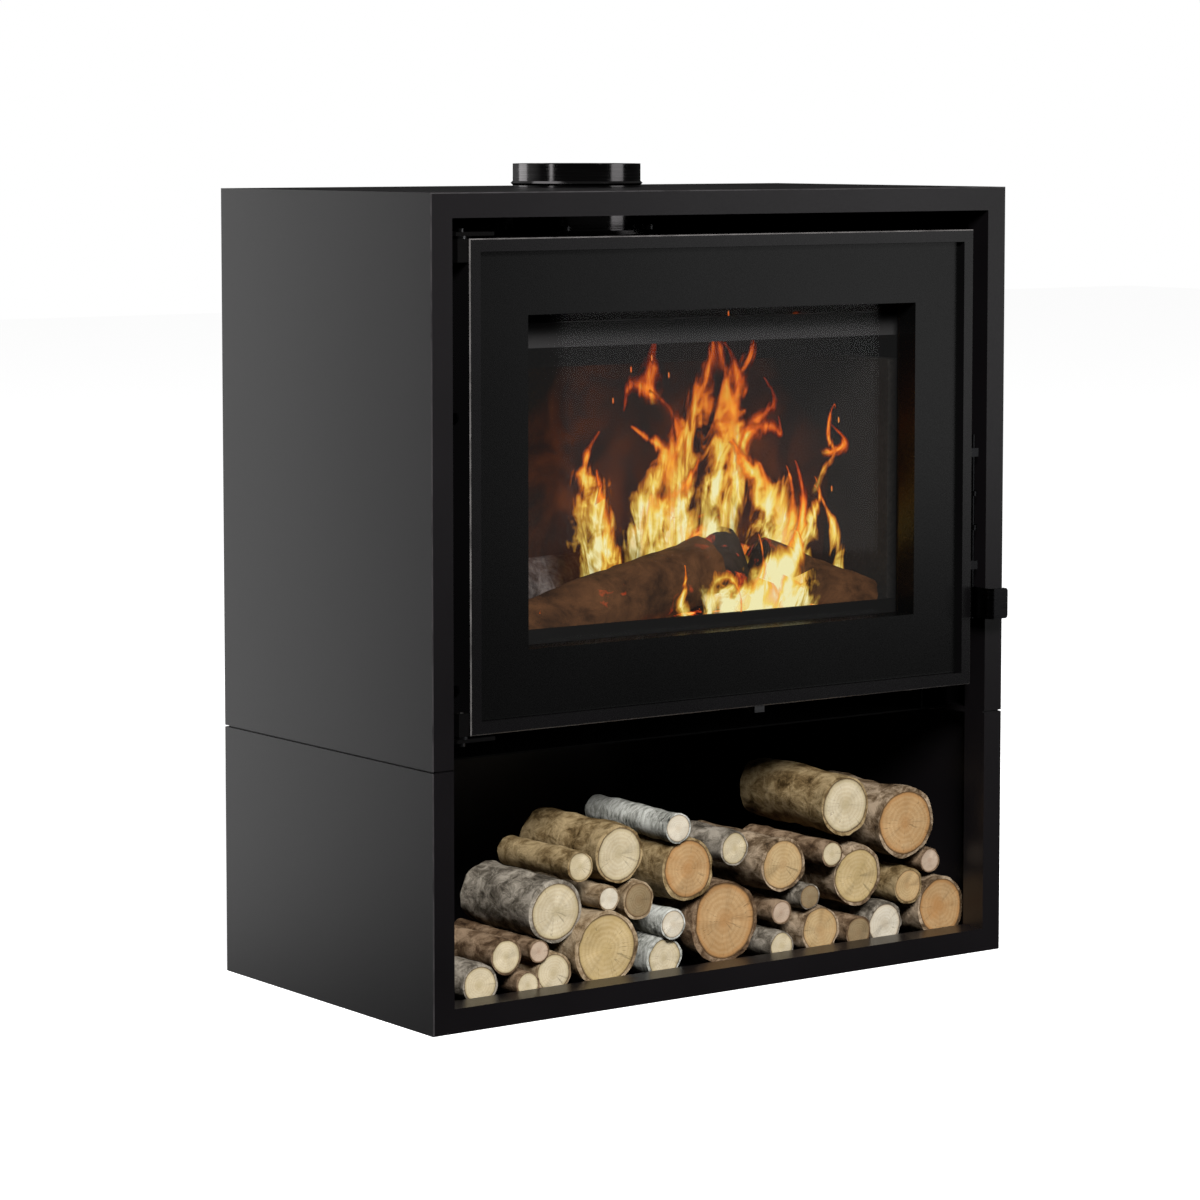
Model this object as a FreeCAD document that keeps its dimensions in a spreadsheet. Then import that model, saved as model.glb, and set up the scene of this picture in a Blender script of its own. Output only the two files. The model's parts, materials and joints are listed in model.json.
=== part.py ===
"""Wood burning stove: a steel case on a log store, with a firebox insert, a glazed door and its latch.

Millimetres. The origin is on the floor under the middle of the case, +X to the right, +Y to the back, +Z up.
Every piece is its own object, bound to the driving sizes in the sheet.
"""

import FreeCAD, Part
import math
import os
import re
import Sketcher

SIZES = {
    # case
    "case_width": 804, "case_depth": 430, "case_height": 900, "case_wall": 3, "face_width": 27,
    "return_depth": 35, "edge_chamfer": 1.2, "seam_height": 284, "seam_groove": 2, "seam_flange": 24,
    "back_wall": 1.5, "panel_clearance": 0.5, "tray_height": 12, "tray_wall": 2, "slot_width": 60,
    "slot_height": 6, "slot_pitch": 110, "slot_rise": 46,
    # levelling feet
    "foot_radius": 15, "foot_thickness": 5, "foot_clearance": 1, "foot_inset": 60, "foot_nut_radius": 10,
    # door
    "door_gap": 22, "door_low": 320, "door_edge": 14, "door_depth": 39, "door_plate": 3,
    "panel_recess": 8, "panel_wall": 3, "window_side": 81, "window_foot": 87, "window_head": 83,
    "glass_wall": 4, "glass_overlap": 13, "gasket_wall": 1.5, "gasket_width": 10, "rope_size": 10,
    "rope_margin": 17, "clip_width": 22, "clip_wall": 2, "clip_pitch": 150, "clip_foot": 8,
    "clip_clearance": 1, "side_screw_radius": 5, "side_screw_height": 2.5, "side_screw_depth": 26,
    "side_screw_foot": 47, "side_screw_head": 340,
    # hinges
    "hinge_out": 7, "hinge_back": 8, "pin_radius": 4, "running_clearance": 0.05, "lug_height": 25,
    "lug_depth": 23, "lug_front": 6, "bracket_wall": 4, "bracket_gap": 3, "bracket_leg": 60,
    "bracket_overhang": 2, "bracket_reach": 40, "bracket_leg_width": 18, "pin_head": 4, "pin_set_in": 3,
    "washer_radius": 7,
    # latch and handle
    "latch_out": 8, "latch_back": 10, "latch_foot": 76, "latch_length": 216, "bearing_rise": 58,
    "bearing_pitch": 132, "bearing_height": 10, "bearing_reach": 13.5, "bearing_depth": 11,
    "hook_hub": 7, "hook_wall": 6, "hook_arm": 5, "hook_reach": 47, "hook_toe": 13, "hook_toe_wall": 5,
    "hook_rise": 104, "hook_pitch": 40, "handle_rise": 2, "handle_height": 35.5, "handle_wall": 4,
    "handle_bend": 3, "handle_forward": 37, "handle_reach": 25, "handle_hub": 2, "handle_round": 3.6,
    "keeper_wall": 3, "keeper_foot": 18,
    # firebox insert
    "jacket_margin": 13, "jacket_rise": 5, "jacket_rear": 37, "jacket_wall": 2, "frame_wall": 6,
    "mouth_margin": 9, "box_margin": 30, "box_rise": 5, "box_drop": 18, "box_rear": 14, "box_wall": 4,
    "brick": 25, "brick_gap": 2, "floor_drop": 39, "brick_drop": 68, "baffle_set_back": 110,
    "baffle_rise": 2, "upper_baffle_wall": 3, "grate_width": 260, "grate_set_back": 60,
    "grate_depth": 170, "grate_wall": 8, "grate_bar": 8, "grate_slot": 10, "grate_rim": 20,
    "ash_width": 220, "ash_set_back": 20, "ash_depth": 190, "ash_height": 28, "ash_wall": 1.5,
    "deflector_drop": 12, "deflector_face": 27, "deflector_wall": 2, "deflector_lip": 20,
    "retainer_rise": 13, "retainer_wall": 8, "inlet_depth": 30,
    # supports
    "rail_width": 40, "rail_wall": 2.5, "rail_bearing": 3, "rail_gap": 2, "support_inset": 10,
    "bolt_radius": 4, "bolt_head_radius": 7.2, "bolt_length": 31, "bolt_head": 5, "centring_rise": 21,
    "centring_depth": 95, "angle_wall": 3, "angle_width": 36, "angle_margin": 9,
    # flue
    "flue_radius": 74.5, "flue_wall": 3, "flue_margin": 2.5, "flue_rise": 27, "flue_drop": 8,
    "flange_width": 19.5, "flange_rise": 8, "flange_wall": 5, "flange_seat": 3, "flue_gap": 3.5,
    "bead_rise": 4.5, "bead_radius": 2.5, "flange_bolt_margin": 10,
    # air control
    "air_width": 240, "air_depth": 120, "air_wall": 2, "air_height": 12, "air_clearance": 0.3,
    "slide_wall": 3, "slide_width": 120, "slide_margin": 20, "slide_lap": 5, "lever_x": 40,
    "lever_width": 10, "lever_travel": 35, "lever_margin": 3, "guide_wall": 3, "guide_lip": 5,
    "knob_width": 14, "knob_height": 7, "knob_depth": 9, "knob_set_back": 1,
    # fasteners and cutting
    "screw_radius": 2.5, "screw_head_radius": 4.5, "screw_head": 2.5, "fit": 0.2, "overshoot": 1,
}

LATCH_REST_DEGREES = 11
SLOTS_EACH_SIDE = 3
GRATE_SLOTS_EACH_SIDE = 5
SAME_PLACE = 0.01

# Places worked out from the sizes.
FRONT = "(-case_depth / 2)"
BACK = "(case_depth / 2)"
SIDE = "(case_width / 2)"
INNER_SIDE = "(case_width / 2 - case_wall)"
OPENING_SIDE = "(case_width / 2 - face_width)"
DOOR_SIDE = "(case_width / 2 - face_width - door_gap)"
DOOR_TOP = "(case_height - face_width - door_gap)"
DOOR_BACK = "(-case_depth / 2 + door_depth)"
PANEL_FACE = "(-case_depth / 2 + panel_recess)"
GLASS_FACE = "(-case_depth / 2 + door_depth + gasket_wall)"
GLASS_BACK = "(-case_depth / 2 + door_depth + gasket_wall + glass_wall)"
FRAME_FACE = "(-case_depth / 2 + door_depth + rope_size)"
FRAME_BACK = "(-case_depth / 2 + door_depth + rope_size + frame_wall)"
HINGE_X = "(-case_width / 2 + face_width + door_gap - hinge_out)"
HINGE_Y = "(-case_depth / 2 + hinge_back)"
LATCH_X = "(case_width / 2 - face_width - door_gap + latch_out)"
LATCH_Y = "(-case_depth / 2 + latch_back)"
FLOOR_TOP = "(floor_low + brick)"
SEAM_TOP = "(seam_height + case_wall)"
CHAMBER_SIDE = "(box_width / 2 - box_wall - brick_gap)"

PLACES = {
    "slot_row": "seam_height + slot_rise",
    "window_width": f"2 * ({DOOR_SIDE} - window_side)",
    "window_low": "door_low + window_foot",
    "window_high": f"{DOOR_TOP} - window_head",
    "jacket_width": f"2 * ({DOOR_SIDE} - jacket_margin)",
    "jacket_low": "door_low + jacket_rise",
    "jacket_top": f"{DOOR_TOP} - jacket_margin",
    "jacket_back": f"{BACK} - jacket_rear",
    "mouth_width": "window_width + 2 * glass_overlap",
    "mouth_low": "window_low - mouth_margin",
    "mouth_high": "window_high + mouth_margin",
    "box_width": "jacket_width - 2 * box_margin",
    "box_low": "jacket_low + box_rise",
    "box_top": "jacket_top - box_drop",
    "box_back": "jacket_back - box_rear",
    "floor_low": "window_low - floor_drop",
    "brick_top": "window_high - brick_drop",
    "baffle_front": f"{FRAME_BACK} + baffle_set_back",
    "upper_baffle": "window_high + baffle_rise",
    "grate_front": f"{FRAME_BACK} + grate_set_back",
    "grate_back": "grate_front + grate_depth",
    "ash_front": f"{FRAME_BACK} + ash_set_back",
    "ash_back": "ash_front + ash_depth",
    "deflector_high": "window_high - deflector_drop",
    "deflector_low": "deflector_high - deflector_face",
    "retainer_high": "window_low + retainer_rise",
    "rail_front": f"{FRAME_BACK} + support_inset",
    "rail_back": f"{BACK} - support_inset",
    "centring_height": "jacket_top + centring_rise",
    "centring_y": f"{FRONT} + centring_depth",
    "air_front": f"{FRAME_BACK} + support_inset",
    "air_back": "air_front + air_depth",
    "air_low": "box_low - air_height",
    "flue_y": "box_back - box_wall - flue_radius - flue_margin",
    "flange_radius": "flue_radius + flange_width",
    "flange_bolt_circle": "flange_radius - flange_bolt_margin",
    "flue_top": "case_height + flue_rise",
    "flue_low": "box_top - flue_drop",
    "bead_height": "case_height + bead_rise",
    "flange_low": "jacket_top + flange_rise",
    "flange_top": "flange_low + flange_wall",
    "latch_low": "door_low + latch_foot",
    "bearing_low": "latch_low + bearing_rise",
    "hook_low": "latch_low + hook_rise",
    "handle_low": "latch_low + handle_rise",
}

PLACE_WORD = re.compile(r"\b(" + "|".join(PLACES) + r")\b")
WORD = re.compile(r"\b(" + "|".join(SIZES) + r")\b")
doc = FreeCAD.newDocument("stove")
sheet = doc.addObject("Spreadsheet::Sheet", "Sizes")
nodes = []


def fill_sheet():
    for row, (alias, value) in enumerate(SIZES.items(), start=1):
        sheet.set(f"A{row}", alias)
        sheet.set(f"B{row}", str(value))
        sheet.setAlias(f"B{row}", alias)
    doc.recompute()


def bound(text):
    """An expression with its places written out and its size names pointed at the sheet."""
    while PLACE_WORD.search(text):
        text = PLACE_WORD.sub(lambda found: f"({PLACES[found[1]]})", text)
    return WORD.sub(r"Sizes.\1", text)


def value(text):
    """The number an expression stands for, for the few places that need one in code."""
    return float(sheet.evalExpression(bound(text)))


def place(thing, x="0", y="0", z="0", axis=None, degrees=0):
    """Turns a thing about an axis, then binds its place to the sheet."""
    if axis:
        turn = FreeCAD.Rotation(FreeCAD.Vector(*axis), degrees)
        thing.Placement = FreeCAD.Placement(FreeCAD.Vector(), turn)
    for letter, text in zip("xyz", (x, y, z)):
        thing.setExpression(f"Placement.Base.{letter}", bound(text))
    return thing


def slab(name, low, high):
    """A straight block between two corners, each given as three expressions."""
    block = doc.addObject("Part::Box", name)
    for side, a, b in zip(("Length", "Width", "Height"), low, high):
        block.setExpression(side, bound(f"({b}) - ({a})"))
    return place(block, *low)


def rod(name, radius, length, at, axis="Z"):
    """A round bar that starts at a point and runs along +X, +Y or +Z."""
    bar = doc.addObject("Part::Cylinder", name)
    bar.setExpression("Radius", bound(radius))
    bar.setExpression("Height", bound(length))
    turns = {"X": ((0, 1, 0), 90), "Y": ((1, 0, 0), -90), "Z": (None, 0)}
    return place(bar, *at, *turns[axis])


def join(name, pieces):
    """One solid out of pieces that meet."""
    joined = doc.addObject("Part::MultiFuse", name)
    joined.Shapes = pieces
    joined.Refine = True
    return joined


def cut(name, base, tool):
    """A base less a tool."""
    rest = doc.addObject("Part::Cut", name)
    rest.Base, rest.Tool = base, tool
    return rest


def group(name, pieces):
    """Separate solids that share a node."""
    grouped = doc.addObject("Part::Compound", name)
    grouped.Links = pieces
    return grouped


def keep(thing, label):
    """Names a finished piece, which is written under that name."""
    thing.Label = label
    nodes.append(thing)
    return thing


def mirrored(name, source):
    """The same piece on the other side of the middle plane."""
    twin = doc.addObject("Part::Mirroring", name)
    twin.Source = source
    twin.Normal = FreeCAD.Vector(1, 0, 0)
    return twin


def new_body(name):
    return doc.addObject("PartDesign::Body", name)


def sketch_on(body, name, role, offset="0"):
    """A sketch on one of the body's own planes, moved along the plane's normal."""
    sketch = body.newObject("Sketcher::SketchObject", name)
    plane = next(f for f in body.Origin.OriginFeatures if f.Role == role)
    sketch.AttachmentSupport = [(plane, "")]
    sketch.MapMode = "FlatFace"
    sketch.setExpression("AttachmentOffset.Base.z", bound(offset))
    return sketch


def limit(sketch, tag, text, kind, *points):
    """A named distance in a sketch, bound to the sheet."""
    index = sketch.addConstraint(Sketcher.Constraint(kind, *points, value(text)))
    sketch.renameConstraint(index, tag)
    sketch.setExpression(f"Constraints.{tag}", bound(text))


def rectangle(sketch, tag, width, low, high):
    """A rectangle centred on the sketch's upright axis, between two heights above its origin."""
    half, bottom, top = value(width) / 2, value(low), value(high)
    corners = [(-half, bottom), (half, bottom), (half, top), (-half, top)]
    points = [FreeCAD.Vector(x, y, 0) for x, y in corners]
    first = sketch.GeometryCount
    for start, end in zip(points, points[1:] + points[:1]):
        sketch.addGeometry(Part.LineSegment(start, end))
    for i in range(4):
        follower = first + (i + 1) % 4
        sketch.addConstraint(Sketcher.Constraint("Coincident", first + i, 2, follower, 1))
    for i, level in enumerate(("Vertical", "Horizontal", "Vertical"), start=1):
        sketch.addConstraint(Sketcher.Constraint(level, first + i))
    sketch.addConstraint(Sketcher.Constraint("Symmetric", first, 1, first, 2, -2))
    limit(sketch, f"{tag}_width", width, "DistanceX", first, 1, first, 2)
    limit(sketch, f"{tag}_low", low, "DistanceY", -1, 1, first, 1)
    limit(sketch, f"{tag}_tall", f"({high}) - ({low})", "DistanceY", first + 1, 1, first + 1, 2)


def pad(body, sketch, name, length, backwards=False):
    """Material from a sketch. Backwards runs against the plane's normal."""
    feature = body.newObject("PartDesign::Pad", name)
    feature.Profile = sketch
    feature.setExpression("Length", bound(length))
    feature.Reversed = backwards
    doc.recompute()
    return feature


def upright_plate(name, face, thickness, outline, windows=()):
    """A plate that faces the front. Outline and windows are (width, low, high)."""
    body = new_body(name)
    sketch = sketch_on(body, f"{name}_sketch", "XZ_Plane", f"-({face})")
    rectangle(sketch, "outline", *outline)
    for number, window in enumerate(windows):
        rectangle(sketch, f"window{number}", *window)
    pad(body, sketch, f"{name}_pad", thickness, backwards=True)
    return body


def front_edges(shape, y, test):
    """The straight edges in a front plane that pass a test of their two ends."""
    found = []
    for number, edge in enumerate(shape.Edges, start=1):
        ends = [v.Point for v in edge.Vertexes]
        if len(ends) == 2 and all(abs(p.y - y) < SAME_PLACE for p in ends) and test(ends):
            found.append(number)
    return found


def chamfer_front(body, tag, face, half_width, high, low):
    """A fine chamfer round the outside of a plate's front face."""
    doc.recompute()
    side, top, bottom = value(half_width), value(high), value(low)

    def outer(ends):
        return (
            all(abs(abs(p.x) - side) < SAME_PLACE for p in ends)
            or all(abs(p.z - top) < SAME_PLACE for p in ends)
            or all(abs(p.z - bottom) < SAME_PLACE for p in ends)
        )

    plain = body.Tip
    found = front_edges(plain.Shape, value(face), outer)
    feature = body.newObject("PartDesign::Chamfer", f"{tag}_chamfer")
    feature.Base = (plain, [f"Edge{n}" for n in found])
    feature.setExpression("Size", bound("edge_chamfer"))
    doc.recompute()


# ---------------------------------------------------------------- case


def folded_edges(tag, low, high):
    """The side walls of one case module, with their front faces, inner returns and back flanges."""
    pieces = []
    spans = {
        "wall": (INNER_SIDE, SIDE, FRONT, BACK),
        "face": (OPENING_SIDE, SIDE, FRONT, f"{FRONT} + case_wall"),
        "return": (OPENING_SIDE, f"{OPENING_SIDE} + case_wall", FRONT, f"{FRONT} + return_depth"),
        "flange": (OPENING_SIDE, SIDE, f"{BACK} - case_wall", BACK),
    }
    for part, (x0, x1, y0, y1) in spans.items():
        right = slab(f"{tag}_{part}_right", (x0, y0, low), (x1, y1, high))
        pieces += [right, slab(f"{tag}_{part}_left", (f"-({x1})", y0, low), (f"-({x0})", y1, high))]
    return pieces


def level_edges(tag, outer_low, outer_high, face_low, face_high, return_low, return_high):
    """The top or bottom wall of a module, with its front face, inner return and back flange."""
    return [
        slab(f"{tag}_level_wall", (f"-{SIDE}", FRONT, outer_low), (SIDE, BACK, outer_high)),
        slab(f"{tag}_level_face", (f"-{SIDE}", FRONT, face_low), (SIDE, f"{FRONT} + case_wall", face_high)),
        slab(
            f"{tag}_level_return",
            (f"-{OPENING_SIDE} - case_wall", FRONT, return_low),
            (f"{OPENING_SIDE} + case_wall", f"{FRONT} + return_depth", return_high),
        ),
        slab(f"{tag}_level_flange", (f"-{SIDE}", f"{BACK} - case_wall", face_low), (SIDE, BACK, face_high)),
    ]


def seam_flanges(tag, low, high):
    """The inward flanges where the two case modules bolt together."""
    x0, x1 = f"{INNER_SIDE} - seam_flange", INNER_SIDE
    y0, y1 = f"{FRONT} + case_wall", f"{BACK} - 2 * case_wall"
    return [
        slab(f"{tag}_seam_right", (x0, y0, low), (x1, y1, high)),
        slab(f"{tag}_seam_left", (f"-({x1})", y0, low), (f"-({x0})", y1, high)),
    ]


def seam_bolt_places():
    """Two bolts a side, in the middle of the seam flanges."""
    x = f"({INNER_SIDE} - seam_flange / 2)"
    return [(f"{sign}{x}", y) for sign in ("", "-") for y in ("(-case_depth / 4)", "(case_depth / 4)")]


def seam_bolt_holes(tag):
    low, length = "seam_height - 2 * case_wall", "4 * case_wall"
    return [
        rod(f"{tag}_seam_hole{i}", "bolt_radius + fit", length, (x, y, low))
        for i, (x, y) in enumerate(seam_bolt_places())
    ]


def back_screw_places(low, high):
    """Where the back panels are screwed to the back flanges."""
    x = f"({OPENING_SIDE} + face_width / 3)"
    return [(f"{sign}{x}", z) for sign in ("", "-") for z in (low, f"(({low}) + ({high})) / 2", high)]


UPPER_SCREWS = back_screw_places("seam_height + 2 * face_width", "case_height - 2 * face_width")
LOWER_SCREWS = back_screw_places("2 * face_width", "seam_height - face_width")


def back_screw_holes(tag, places):
    return [
        rod(f"{tag}_hole{i}", "screw_radius + fit", "5 * case_wall", (x, f"{BACK} - 4 * case_wall", z), "Y")
        for i, (x, z) in enumerate(places)
    ]


def softened(name, shape, level):
    """A case module with the outer edges of its front lightly chamfered, at the sides and at one level."""
    doc.recompute()
    size, side, front, height = (value(text) for text in ("edge_chamfer", SIDE, FRONT, level))

    def outer(ends):
        return (
            all(abs(abs(p.x) - side) < SAME_PLACE for p in ends)
            or all(abs(p.z - height) < SAME_PLACE for p in ends)
        )

    soft = doc.addObject("Part::Chamfer", name)
    soft.Base = shape
    soft.Edges = [(number, size, size) for number in front_edges(shape.Shape, front, outer)]
    return soft


def upper_case():
    low, high = "seam_height + seam_groove", "case_height"
    pieces = folded_edges("upper", low, high)
    pieces += level_edges(
        "upper", f"{high} - case_wall", high, f"{high} - face_width", high,
        f"{high} - face_width", f"{high} - face_width + case_wall",
    )
    pieces += seam_flanges("upper", "seam_height", SEAM_TOP)
    flue_hole = rod("upper_flue_hole", "flue_radius + flue_gap", "4 * case_wall",
                    ("0", "flue_y", f"{high} - 2 * case_wall"))
    tools = [flue_hole, *seam_bolt_holes("upper"), *back_screw_holes("upper_back", UPPER_SCREWS)]
    shell = cut("upper_case_plain", join("upper_case_sheet", pieces), group("upper_case_holes", tools))
    keep(softened("upper_case", shell, high), "upper_case_shell")


def foot_places():
    x, y = "(case_width / 2 - foot_inset)", "(case_depth / 2 - foot_inset)"
    return [(f"{a}{x}", f"{b}{y}") for a in ("", "-") for b in ("", "-")]


def lower_case():
    low, high = "0", "seam_height"
    pieces = folded_edges("lower", low, high)
    pieces += level_edges(
        "lower", low, "case_wall", low, "face_width", "face_width - case_wall", "face_width"
    )
    pieces += seam_flanges("lower", "seam_height - case_wall", "seam_height")
    tools = [*seam_bolt_holes("lower"), *back_screw_holes("lower_back", LOWER_SCREWS)]
    for i, (x, y) in enumerate(foot_places()):
        hole = rod(f"foot_hole{i}", "foot_radius + foot_clearance", "4 * case_wall", (x, y, "-case_wall"))
        tools.append(hole)
    shell = cut("lower_case_plain", join("lower_case_sheet", pieces), group("lower_case_holes", tools))
    keep(softened("lower_case", shell, "0"), "lower_case_shell")


def back_screw(i, x, z):
    """A pan head screw that holds a back panel to its flange."""
    head = rod(f"back_screw_head{i}", "screw_head_radius", "screw_head", (x, BACK, z), "Y")
    stem = rod(f"back_screw_stem{i}", "screw_radius", "3 * case_wall", (x, f"{BACK} - 3 * case_wall", z), "Y")
    return join(f"back_screw{i}", [head, stem])


def slotted_panel(name, low, high, screws, slots):
    """A back panel inside the back flanges, with a row of convection slots where it is asked for."""
    face = f"({BACK} - case_wall - back_wall)"
    width = "case_width - 2 * case_wall - 2 * panel_clearance"
    body = upright_plate(f"{name}_body", face, "back_wall", (width, low, high))
    if slots:
        sketch = sketch_on(body, f"{name}_slot", "XZ_Plane", f"-{face}")
        rectangle(sketch, "slot", "slot_width", "slot_row", "slot_row + slot_height")
        pocket = body.newObject("PartDesign::Pocket", f"{name}_pocket")
        pocket.Profile = sketch
        pocket.Type = "ThroughAll"
        pocket.Midplane = True
        doc.recompute()
        for step, reverse in (("right", False), ("left", True)):
            row = body.newObject("PartDesign::LinearPattern", f"{name}_{step}")
            row.Originals = [pocket]
            row.Direction = (sketch, ["H_Axis"])
            row.Reversed = reverse
            row.Occurrences = SLOTS_EACH_SIDE + 1
            row.setExpression("Length", bound(f"{SLOTS_EACH_SIDE} * slot_pitch"))
            body.Tip = row
            doc.recompute()
    return keep(cut(name, body, group(f"{name}_holes", back_screw_holes(name, screws))), name)


def back_panels():
    slotted_panel(
        "upper_back_panel", "seam_height + panel_clearance", "case_height - case_wall - panel_clearance",
        UPPER_SCREWS, True,
    )
    slotted_panel(
        "lower_back_panel", "case_wall + panel_clearance", "seam_height - panel_clearance",
        LOWER_SCREWS, False,
    )
    places = [*UPPER_SCREWS, *LOWER_SCREWS]
    screws = [back_screw(i, x, z) for i, (x, z) in enumerate(places)]
    keep(group("back_screws", screws), "back_panel_screws")


def log_tray():
    side = f"({INNER_SIDE} - panel_clearance)"
    front, back = f"{FRONT} + return_depth + panel_clearance", f"{BACK} - 2 * case_wall - panel_clearance"
    top = slab("tray_top", (f"-{side}", front, "tray_height - tray_wall"), (side, back, "tray_height"))
    lip = slab("tray_front", (f"-{side}", front, "case_wall"), (side, f"{front} + tray_wall", "tray_height"))
    rim = slab("tray_back", (f"-{side}", f"{back} - tray_wall", "case_wall"), (side, back, "tray_height"))
    keep(join("log_tray", [top, lip, rim]), "log_store_tray")


def levelling_feet():
    feet, nuts = [], []
    for i, (x, y) in enumerate(foot_places()):
        feet.append(rod(f"foot{i}", "foot_radius", "foot_thickness", (x, y, "0")))
        height = "tray_height - tray_wall - foot_thickness"
        nuts.append(rod(f"foot_nut{i}", "foot_nut_radius", height, (x, y, "foot_thickness")))
    keep(group("feet", feet), "levelling_feet")
    keep(group("foot_nuts", nuts), "levelling_nuts")


def case_bolts():
    bolts, bolt_nuts = [], []
    for i, (x, y) in enumerate(seam_bolt_places()):
        below = "seam_height - case_wall"
        head = rod(f"seam_head{i}", "2 * bolt_radius", "bolt_head", (x, y, f"{below} - bolt_head"))
        stem = rod(f"seam_stem{i}", "bolt_radius", "2 * case_wall + 2 * bolt_head", (x, y, below))
        bolts.append(join(f"seam_bolt{i}", [head, stem]))
        nut = rod(f"seam_nut{i}", "2 * bolt_radius", "bolt_head", (x, y, SEAM_TOP))
        bore = rod(f"seam_nut_bore{i}", "bolt_radius + fit / 2", "2 * bolt_head",
                   (x, y, f"{SEAM_TOP} - overshoot"))
        bolt_nuts.append(cut(f"seam_nut_cut{i}", nut, bore))
    keep(group("seam_bolts", bolts), "case_joining_bolts")
    keep(group("seam_nuts", bolt_nuts), "case_joining_nuts")


# ---------------------------------------------------------------- insert


def support_rail():
    x0 = f"({INNER_SIDE} - seam_flange - rail_gap - rail_width)"
    x1 = f"({INNER_SIDE} - seam_flange - rail_gap)"
    outer = slab("rail_outer", (x0, "rail_front", "seam_height"), (x1, "rail_back", "jacket_low"))
    inner = slab(
        "rail_inner", (f"{x0} + rail_wall", "rail_front - overshoot", "seam_height + rail_wall"),
        (f"{x1} - rail_wall", "rail_back + overshoot", "jacket_low - rail_wall"),
    )
    ear_end = f"({INNER_SIDE} - seam_flange + rail_bearing)"
    ear = slab("rail_ear", (f"{x1} - rail_wall", "rail_front", SEAM_TOP),
               (ear_end, "rail_back", f"{SEAM_TOP} + rail_wall"))
    tube = cut("rail_tube", outer, inner)
    rail = join("rail_right", [tube, ear])
    keep(rail, "right_support_rail")
    keep(mirrored("rail_left", rail), "left_support_rail")
    shield = slab("shield", (f"-{x0}", "rail_front", "seam_height"),
                  (x0, "rail_back", "seam_height + tray_wall"))
    keep(shield, "log_store_heat_shield")


def open_box(tag, width, low, top, back, wall, bottom):
    """A folded casing that is open at the front, and at the bottom unless it has one."""
    outer = slab(f"{tag}_outer", (f"-{width} / 2", FRAME_BACK, low), (f"{width} / 2", back, top))
    floor = f"{low} + {wall}" if bottom else f"{low} - overshoot"
    inner = slab(
        f"{tag}_inner", (f"-{width} / 2 + {wall}", f"{FRAME_BACK} - overshoot", floor),
        (f"{width} / 2 - {wall}", f"{back} - {wall}", f"{top} - {wall}"),
    )
    return outer, inner


def casings():
    outer, inner = open_box(
        "jacket", "jacket_width", "jacket_low", "jacket_top", "jacket_back", "jacket_wall", False
    )
    hole = rod("jacket_hole", "flange_radius - flange_seat", "4 * jacket_wall",
               ("0", "flue_y", "jacket_top - 2 * jacket_wall"))
    keep(cut("jacket", outer, group("jacket_tools", [inner, hole])), "convection_jacket")
    outer, inner = open_box("firebox", "box_width", "box_low", "box_top", "box_back", "box_wall", True)
    hole = rod("box_hole", "flue_radius + fit", "4 * box_wall", ("0", "flue_y", "box_top - 2 * box_wall"))
    inlet_front = "air_front + slide_margin + support_inset"
    inlet = slab("box_inlet", ("-slide_width / 2", inlet_front, "box_low - overshoot"),
                 ("slide_width / 2", f"{inlet_front} + inlet_depth", "box_low + box_wall + overshoot"))
    keep(cut("firebox", outer, group("firebox_tools", [inner, hole, inlet])), "firebox_body")


def front_frame():
    frame = upright_plate(
        "front_frame", FRAME_FACE, "frame_wall", ("jacket_width", "jacket_low", "jacket_top"),
        [("mouth_width", "mouth_low", "mouth_high")],
    )
    keep(frame, "firebox_front_frame")


def lining():
    """Vermiculite bricks and the two baffles."""
    front = f"({FRAME_BACK} + retainer_wall + brick_gap)"
    back = "(box_back - box_wall - brick_gap)"
    floor = slab("floor_slab", (f"-{CHAMBER_SIDE}", front, "floor_low"), (CHAMBER_SIDE, back, FLOOR_TOP))
    well = slab(
        "floor_well", ("-grate_width / 2 + grate_rim", "grate_front + grate_rim", "floor_low - overshoot"),
        ("grate_width / 2 - grate_rim", "grate_back - grate_rim", f"{FLOOR_TOP} + overshoot"),
    )
    keep(cut("floor_lining", floor, well), "floor_brick")
    side = slab(
        "side_brick", (f"{CHAMBER_SIDE} - brick", front, FLOOR_TOP),
        (CHAMBER_SIDE, f"{back} - brick - brick_gap / 2", "brick_top"),
    )
    keep(side, "right_side_brick")
    keep(mirrored("side_brick_left", side), "left_side_brick")
    rear = slab("rear_brick", (f"-{CHAMBER_SIDE}", f"{back} - brick", FLOOR_TOP),
                (CHAMBER_SIDE, back, "brick_top"))
    keep(rear, "rear_brick")
    lower = slab("lower_baffle", (f"-{CHAMBER_SIDE}", "baffle_front", "brick_top"),
                 (CHAMBER_SIDE, back, "brick_top + brick"))
    keep(lower, "baffle_brick")
    plate_front = f"{FRAME_BACK} + deflector_lip + brick_gap"
    upper = slab(
        "upper_baffle_plate", (f"-{CHAMBER_SIDE}", plate_front, "upper_baffle"),
        (CHAMBER_SIDE, "box_back / 3", "upper_baffle + upper_baffle_wall"),
    )
    keep(upper, "upper_baffle_plate")


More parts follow.
